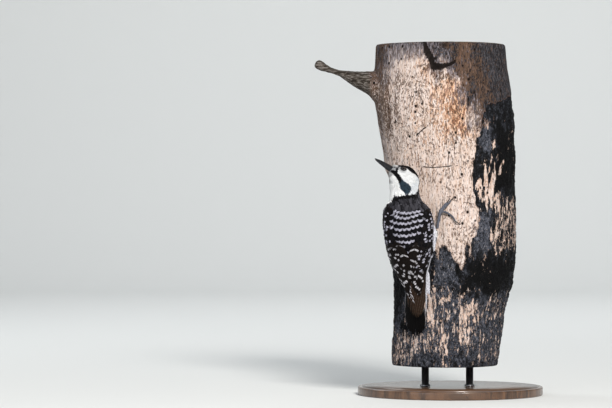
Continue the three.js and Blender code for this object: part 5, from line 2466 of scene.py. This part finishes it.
@dataclass(frozen=True)
class SnagFinish:
    """Weathered pine: pale long grain, rusty heart, grey sides and top, painted shade on the left, beetle
    holes, cracks and char.
    """

    pale: Colour = (0.66, 0.555, 0.51)
    cream: Colour = (0.8, 0.72, 0.68)
    tan: Colour = (0.34, 0.225, 0.165)
    dark: Colour = (0.085, 0.052, 0.036)
    rust: Colour = (0.68, 0.4, 0.24)
    slate: Colour = (0.085, 0.086, 0.1)
    coal: Colour = (0.0035, 0.0035, 0.004)

    def holes(self, desk: ShaderDesk, size: float, chance: float, offset: float) -> Signal:
        """Scattered round holes.

        Args:
            desk: the maker.
            size: how large a cell with one hole is, in millimetres.
            chance: how many of the cells have a hole, 0 to 1.
            offset: sets one pattern off from another.

        Returns:
            1 in a hole.
        """
        near, colour = desk.cells(desk.spot((size, size, size * 1.15), (offset, offset, offset)))
        luck = Signal(desk, desk.node("ShaderNodeSeparateColor", {}, {0: colour}).outputs[0])
        return near.step(0.24, 0.14) * luck.step(1 - chance - 0.02, 1 - chance + 0.02)

    def wood(self, desk: ShaderDesk) -> tuple[Socket, Signal]:
        """The unburnt wood.

        Args:
            desk: the maker.

        Returns:
            Its colour and the height of its surface.
        """
        grey, brown, rusty = map(desk.attribute, ("grey", "brown", "rust"))
        grain, fibre = desk.noise((1.5, 1.5, 13.0), 4.0, 0.62, 0.3), desk.noise((0.55, 0.55, 4.5), 3.0, 0.6)
        fleck = desk.noise((1.25, 1.25, 2.9), 3.0, 0.62, 0.5)
        blot = desk.noise((1.7, 1.7, 5.6), 3.0, 0.6, 0.4, (7.0, 3.0, 1.0))
        bruise = desk.noise((3.4, 3.4, 5.5), 4.0, 0.65, 0.6, (4.0, 9.0, 2.0))
        broad = desk.noise((14.0, 14.0, 34.0))
        steps = ((0.38, self.tan), (0.46, (0.6, 0.47, 0.4)), (0.54, self.pale), (0.63, self.cream))
        stain = (blot + rusty * 0.3 + (broad - 0.5) * 0.3).step(0.6, 0.72)
        shade = (grain * 0.5 + fibre * 0.5).step(0.46, 0.56)
        slate = desk.over((0.008, 0.008, 0.009), (shade * fleck.step(0.42, 0.56), self.slate))
        gloom = (grey + (blot - 0.5) * 0.9 + (broad - 0.5) * 0.5).step(0.86, 1.1)
        worn = desk.over((0.045, 0.038, 0.043), (shade, (0.23, 0.205, 0.225)), (gloom * 0.86, slate))
        weather_and_shade = (grey + (blot - 0.5) * 1.5 + (grain - 0.5) * 0.8 + (broad - 0.5) * 0.6).step(0.35, 0.75)
        speck = (fleck + (brown - 0.5) * 0.26).step(0.56, 0.62)
        rot_and_shade = (blot * 0.5 + grain * 0.5 + (brown - 1.0) * 0.3).step(0.46, 0.56) * brown.step(0.5, 0.9)
        growth = (desk.attribute("out") * 4.2 + (broad - 0.5) * 3.0 + fleck * 0.3).fraction()
        ring = growth.step(0.55, 0.95) * growth.step(1.0, 0.97) * 0.7 + (1 - shade) * 0.3
        colour = desk.over(
            desk.ramp(grain * 0.45 + fibre * 0.4 + broad * 0.15, *steps),
            (stain * (0.25 + 0.65 * rusty), self.rust),
            ((blot * 0.7 + fibre * 0.3 + rusty * 0.16).step(0.62, 0.66) * rusty, (0.24, 0.1, 0.05)),
            # Weathered grey where the grey zones lie; down the trunk's left side it is painted shade.
            (weather_and_shade * (0.4 + 0.6 * grey), worn),
            (speck * (0.5 + 0.5 * brown), self.dark),
            # Dark brown rot where the brown zones are strong; under the stub and down the left side it is
            # the stub's painted shadow and painted shade.
            (rot_and_shade * 0.72, desk.over((0.05, 0.03, 0.022), (shade, (0.21, 0.13, 0.095)))),
            ((bruise + (brown - 0.5) * 0.16).step(0.57, 0.62) * 0.75, (0.11, 0.066, 0.045)),
            (desk.attribute("cut"), desk.over((0.33, 0.27, 0.22), (ring, (0.1, 0.072, 0.055)))),
        )
        return colour, grain + fibre * 0.8 - speck * 0.7

    def marks(self, desk: ShaderDesk) -> Signal:
        """Holes, thin drying cracks, and the painted shadow under the flap and in the notch at its left.

        Args:
            desk: the maker.

        Returns:
            How dark they make the wood.
        """
        parts = desk.node("ShaderNodeSeparateXYZ", {}, {0: desk.spot(1.0)}).outputs
        x, z = Signal(desk, parts[0]), Signal(desk, parts[2])
        rag = desk.noise(2.2) - 0.5
        holes = self.holes(desk, 7.0, 0.3, 3.0).most(self.holes(desk, 3.6, 0.16, 11.0) * 0.9)
        front = abs(desk.attribute("turn")).step(0.36, 0.3)
        crack = abs(z - 244.7 - ((x + 21) / 13) ** 2 * 0.8 + rag * 1.6).step(0.65, 0.25)
        crack = crack * abs(x + 17.5).step(17.0, 14.0) * front
        short = abs(z - 284 - (x + 33) * 0.9 + rag * 3.0).step(1.2, 0.5) * abs(x + 34).step(6.0, 4.0) * front
        # The lip line and the notch carry the painted shadow under the loose flap and in the hollow at its
        # left.
        lip = abs(z - 351.3 - ((x + 15) / 8.5) ** 2 * 1.4 + rag * 4.0) + (x + 20) * 0.12
        notch_shadow = abs(z - 365 + (x + 26.5) * 2.0 + rag * 9).step(9.0, 6.6) * abs(x + 26).step(6.5, 5.0)
        shadow = lip.step(4.6, 3.3) * abs(x + 11).step(15.0, 12.5)
        split = abs(desk.noise((3.4, 3.4, 75.0), 2.0, 0.5, 0.2) - 0.5).step(0.012, 0.003)
        split = split * desk.noise((20.0, 20.0, 30.0), 2.0).step(0.52, 0.62)
        return holes.most(crack).most(short).most(split * 0.85).most(shadow.most(notch_shadow) * front)

    def charcoal(self, desk: ShaderDesk) -> tuple[Socket, Signal]:
        """The char: black blocks with cold highlights and pale flecks.

        Args:
            desk: the maker.

        Returns:
            Its colour and the height of its surface.
        """
        glint = desk.attribute("glint")
        blocks, _ = desk.cells(desk.warped((4.4, 4.4, 9.0), 2.6), "DISTANCE_TO_EDGE")
        lump, ash = desk.noise((3.4, 3.4, 6.0), 4.0, 0.62, 0.5), desk.noise((0.9, 0.9, 2.0), 3.0, 0.7)
        lit = (lump * 0.6 + ash * 0.4 + (glint - 0.5) * 0.16).step(0.46, 0.62)
        fleck = (ash * 0.6 + lump * 0.4 + glint * 0.1).step(0.66, 0.71) * glint
        crack = blocks.step(0.09, 0.02) * lump.step(0.42, 0.56)
        colour = desk.over(
            self.coal,
            (lit * glint, (0.088, 0.094, 0.118)),
            (fleck * 0.8, (0.34, 0.31, 0.31)),
            (crack * 0.85, (0.002, 0.002, 0.002)),
        )
        return colour, lump * 2.0 + ash * 0.9 - crack * 0.8

    def material(self) -> Material:
        """Builds the material.

        Returns:
            The material.
        """
        desk = ShaderDesk("weathered_snag", Specular_IOR_Level=0.1)
        wood, height = self.wood(desk)
        coal, lumps = self.charcoal(desk)
        marks = self.marks(desk)
        burnt, stub, deep = map(desk.attribute, ("burnt", "stub", "deep"))
        streak = desk.noise((2.1, 2.1, 19.0), 3.0, 0.6, 0.5, (1.0, 7.0, 3.0))
        patch = desk.noise((3.8, 3.8, 10.0), 4.0, 0.66, 0.7, (2.0, 1.0, 9.0))
        chip = desk.noise((1.2, 1.2, 2.6), 3.0, 0.6)
        mixed = streak * 0.36 + patch * 0.46 + chip * 0.18
        edge = burnt + (mixed - 0.5) * 3.4
        open_wood = (mixed + (desk.attribute("bare") - 0.5) * 0.4).step(0.5, 0.54)
        charred = edge.step(0.44, 0.54) * (1 - open_wood)
        steps = ((0.4, (0.024, 0.019, 0.015)), (0.5, (0.075, 0.062, 0.05)), (0.62, (0.2, 0.18, 0.165)))
        colour = desk.over(
            wood,
            (edge.band(0.4, 0.06, 0.08) * 0.5, (0.2, 0.11, 0.075)),
            (burnt.step(0.5, 0.7) * chip.step(0.45, 0.62) * 0.45, (0.66, 0.4, 0.28)),
            # Holes, cracks, and the painted shadow under the flap.
            (marks * 0.98, (0.009, 0.006, 0.005)),
            (stub, desk.ramp(desk.noise((9.0, 1.6, 1.6), 4.0, 0.6, 0.3), *steps)),
            # Painted shade: the wood darkens where its surface is sunk in, as in the hollow beside the bird.
            (deep.step(0.25, 0.8) * 0.75, (0.03, 0.02, 0.015)),
            (charred, coal),
        )
        relief = height * (1 - charred) + charred * lumps - marks * 1.6
        rough = 0.82 - 0.25 * charred * chip.step(0.4, 0.7) + 0.1 * chip * (1 - charred)
        return desk.done(Base_Color=colour, Roughness=rough, Normal=desk.bump(relief, 0.0012, 0.9))


@dataclass(frozen=True)
class BaseFinish:
    """Dark varnished wood with straight pores."""

    dark: Colour = (0.028, 0.014, 0.008)
    warm: Colour = (0.115, 0.055, 0.026)

    def material(self) -> Material:
        """Builds the material.

        Returns:
            The material.
        """
        desk = ShaderDesk("varnished_base", Specular_IOR_Level=0.5, Coat_Roughness=0.12)
        bands, pores = desk.noise((55.0, 3.2, 30.0), 4.0, 0.6, 0.7), desk.noise((9.0, 0.35, 4.0), 2.0)
        colour = desk.ramp(bands, (0.32, self.dark), (0.55, self.warm), (0.72, (0.17, 0.085, 0.04)))
        colour = desk.over(colour, (pores.step(0.6, 0.72) * 0.6, (0.012, 0.006, 0.004)))
        rough, coat = 0.34 + 0.2 * pores, 0.5 + 0.2 * bands
        normal = desk.bump(pores, -0.00012, 0.5)
        return desk.done(Base_Color=colour, Roughness=rough, Coat_Weight=coat, Normal=normal)


@dataclass(frozen=True)
class RodFinish:
    """Brushed steel."""

    steel: Colour = (0.42, 0.42, 0.43)

    def material(self) -> Material:
        """Builds the material.

        Returns:
            The material.
        """
        desk = ShaderDesk("brushed_rod", Metallic=1.0)
        brush, smear = desk.noise((6.0, 6.0, 0.16)), desk.noise((4.0, 4.0, 6.0))
        colour = desk.over(self.steel, (smear.step(0.35, 0.8) * 0.5, (0.3, 0.29, 0.28)))
        rough = 0.26 + 0.18 * brush + 0.1 * smear
        return desk.done(Base_Color=colour, Roughness=rough, Normal=desk.bump(brush, 0.00003, 0.4))


@dataclass(frozen=True)
class FloorFinish:
    """Plain pale paper."""

    tint: Colour = (0.74, 0.745, 0.73)

    def material(self) -> Material:
        """Builds the material.

        Returns:
            The material.
        """
        desk = ShaderDesk("pale_paper", Specular_IOR_Level=0.2)
        tooth = desk.noise(2.0, 2.0)
        colour = desk.over(self.tint, (tooth * 0.1, tuple(part * 0.94 for part in self.tint)))
        return desk.done(Base_Color=colour, Roughness=0.9 + 0.05 * tooth)


# ---- studio


@dataclass
class Studio:
    """Pale floor that curves up behind, soft lights and the camera."""

    aim: Triple = (-0.03, -0.08, 0.2)
    wall: float = 3.6
    bend: float = 0.9
    half: float = 7.0
    air: float = 0.25
    lens: float = 168.0
    camera_at: Triple = (-0.156, -3.09, 0.206)

    def sweep(self, material: Material) -> None:
        """Makes the floor and backdrop.

        Args:
            material: the paper's finish.
        """
        line = [(-6.5, 0.0), (self.wall, 0.0)]
        for angle in np.linspace(0.1, math.pi / 2, 14):
            line.append((self.wall + self.bend * math.sin(angle), self.bend - self.bend * math.cos(angle)))
        line.append((self.wall + self.bend, 5.0))
        points = [(x, y, z) for y, z in line for x in (-self.half, self.half)]
        faces = [(low, low + 1, low + 3, low + 2) for low in range(0, 2 * len(line) - 2, 2)]
        made = make_piece("studio_sweep", np.array(points), faces)
        made.data.materials.append(material)

    def light(self, name: str, place: Triple, size: float, power: float, tint: Colour, aim: Triple) -> None:
        """Hangs one soft light.

        Args:
            name: its name.
            place: where it hangs.
            size: how wide it is, in metres.
            power: its power in watts.
            tint: its colour.
            aim: what it faces.
        """
        data = bpy.data.lights.new(name, "AREA")
        data.shape = "DISK"
        data.size = size
        data.energy = power
        data.color = tint
        made = bpy.data.objects.new(name, data)
        made.location = place
        made.rotation_euler = (Vector(aim) - Vector(place)).to_track_quat("-Z", "Y").to_euler()
        bpy.context.collection.objects.link(made)

    def build(self) -> None:
        """Makes the sweep, the lights, the air and the camera."""
        self.sweep(FloorFinish().material())
        self.light("key_light", (0.55, -2.3, 1.5), 0.7, 92.0, (1.0, 0.975, 0.94), self.aim)
        self.light("fill_light", (-1.6, -2.0, 0.5), 1.6, 12.0, (0.86, 0.92, 1.0), self.aim)
        self.light("rim_light", (-1.6, 1.0, 1.5), 1.0, 12.0, (0.95, 0.98, 1.0), self.aim)
        self.light("backdrop_light", (0.3, 1.7, 3.1), 1.8, 70.0, (0.96, 0.98, 1.0), (0.3, 4.4, 0.7))
        scene = bpy.context.scene
        scene.view_settings.view_transform = "Standard"
        scene.world = bpy.data.worlds.new("soft_air")
        scene.world.use_nodes = True
        air = scene.world.node_tree.nodes["Background"].inputs
        air[0].default_value = (0.86, 0.93, 1.0, 1.0)
        air[1].default_value = self.air
        data = bpy.data.cameras.new("camera")
        data.sensor_width = 36.0
        data.lens = self.lens
        data.clip_end = 60.0
        camera = bpy.data.objects.new("camera", data)
        camera.location = self.camera_at
        camera.rotation_euler = (math.pi / 2, 0.0, 0.0)
        bpy.context.collection.objects.link(camera)
        scene.camera = camera


def build_bird() -> None:
    """Builds the bird: skin, coat, wings, tail, bill, eyes and feet."""
    skin = Skin()
    skin.build(SkinFinish().material())
    wings = folded_wings()
    coat = Coat(skin, wings, PlumageFinish().material())
    coat.dress()
    quills = QuillFinish().material()
    for wing, name in zip(wings, ("right", "left")):
        if wing.side > 0:
            wing.plumes("flank_plumes_right", quills)
        wing.build(f"flight_feathers_{name}", quills)
        coat.add(f"wing_coverts_{name}", wing.coverts(coat), VaneShape.BROAD, 0.16, "plumage_dark")
        coat.add(f"wing_edge_{name}", wing.edge_coverts(coat), VaneShape.ROUND, 0.12, "plumage_dark")
    Tail().build(quills)
    horn = HornFinish("bill_horn_dark", (0.003, 0.0034, 0.0045), (0.014, 0.018, 0.024), 0.36).material()
    Bill().build(horn)
    scales = ScaleFinish("foot_scales", (0.062, 0.067, 0.088), (0.016, 0.016, 0.02)).material()
    lids = ScaleFinish("eyelid_skin", (0.02, 0.021, 0.026), (0.006, 0.006, 0.007)).material()
    Eyes().build(EyeFinish().material(), lids)
    claw = HornFinish("claw_horn_dark", (0.02, 0.019, 0.02), (0.085, 0.08, 0.078), 0.34).material()
    for side in ("left", "right"):
        Feet().build(side, scales, claw)


def main() -> None:
    """Builds every sub-assembly in order."""
    logging.basicConfig(level=logging.INFO, format="%(name)s: %(message)s")
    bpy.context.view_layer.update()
    build_bird()
    Snag().build(SnagFinish().material())
    Stand().build(BaseFinish().material(), RodFinish().material())
    Studio().build()


if __name__ == "__main__":
    main()
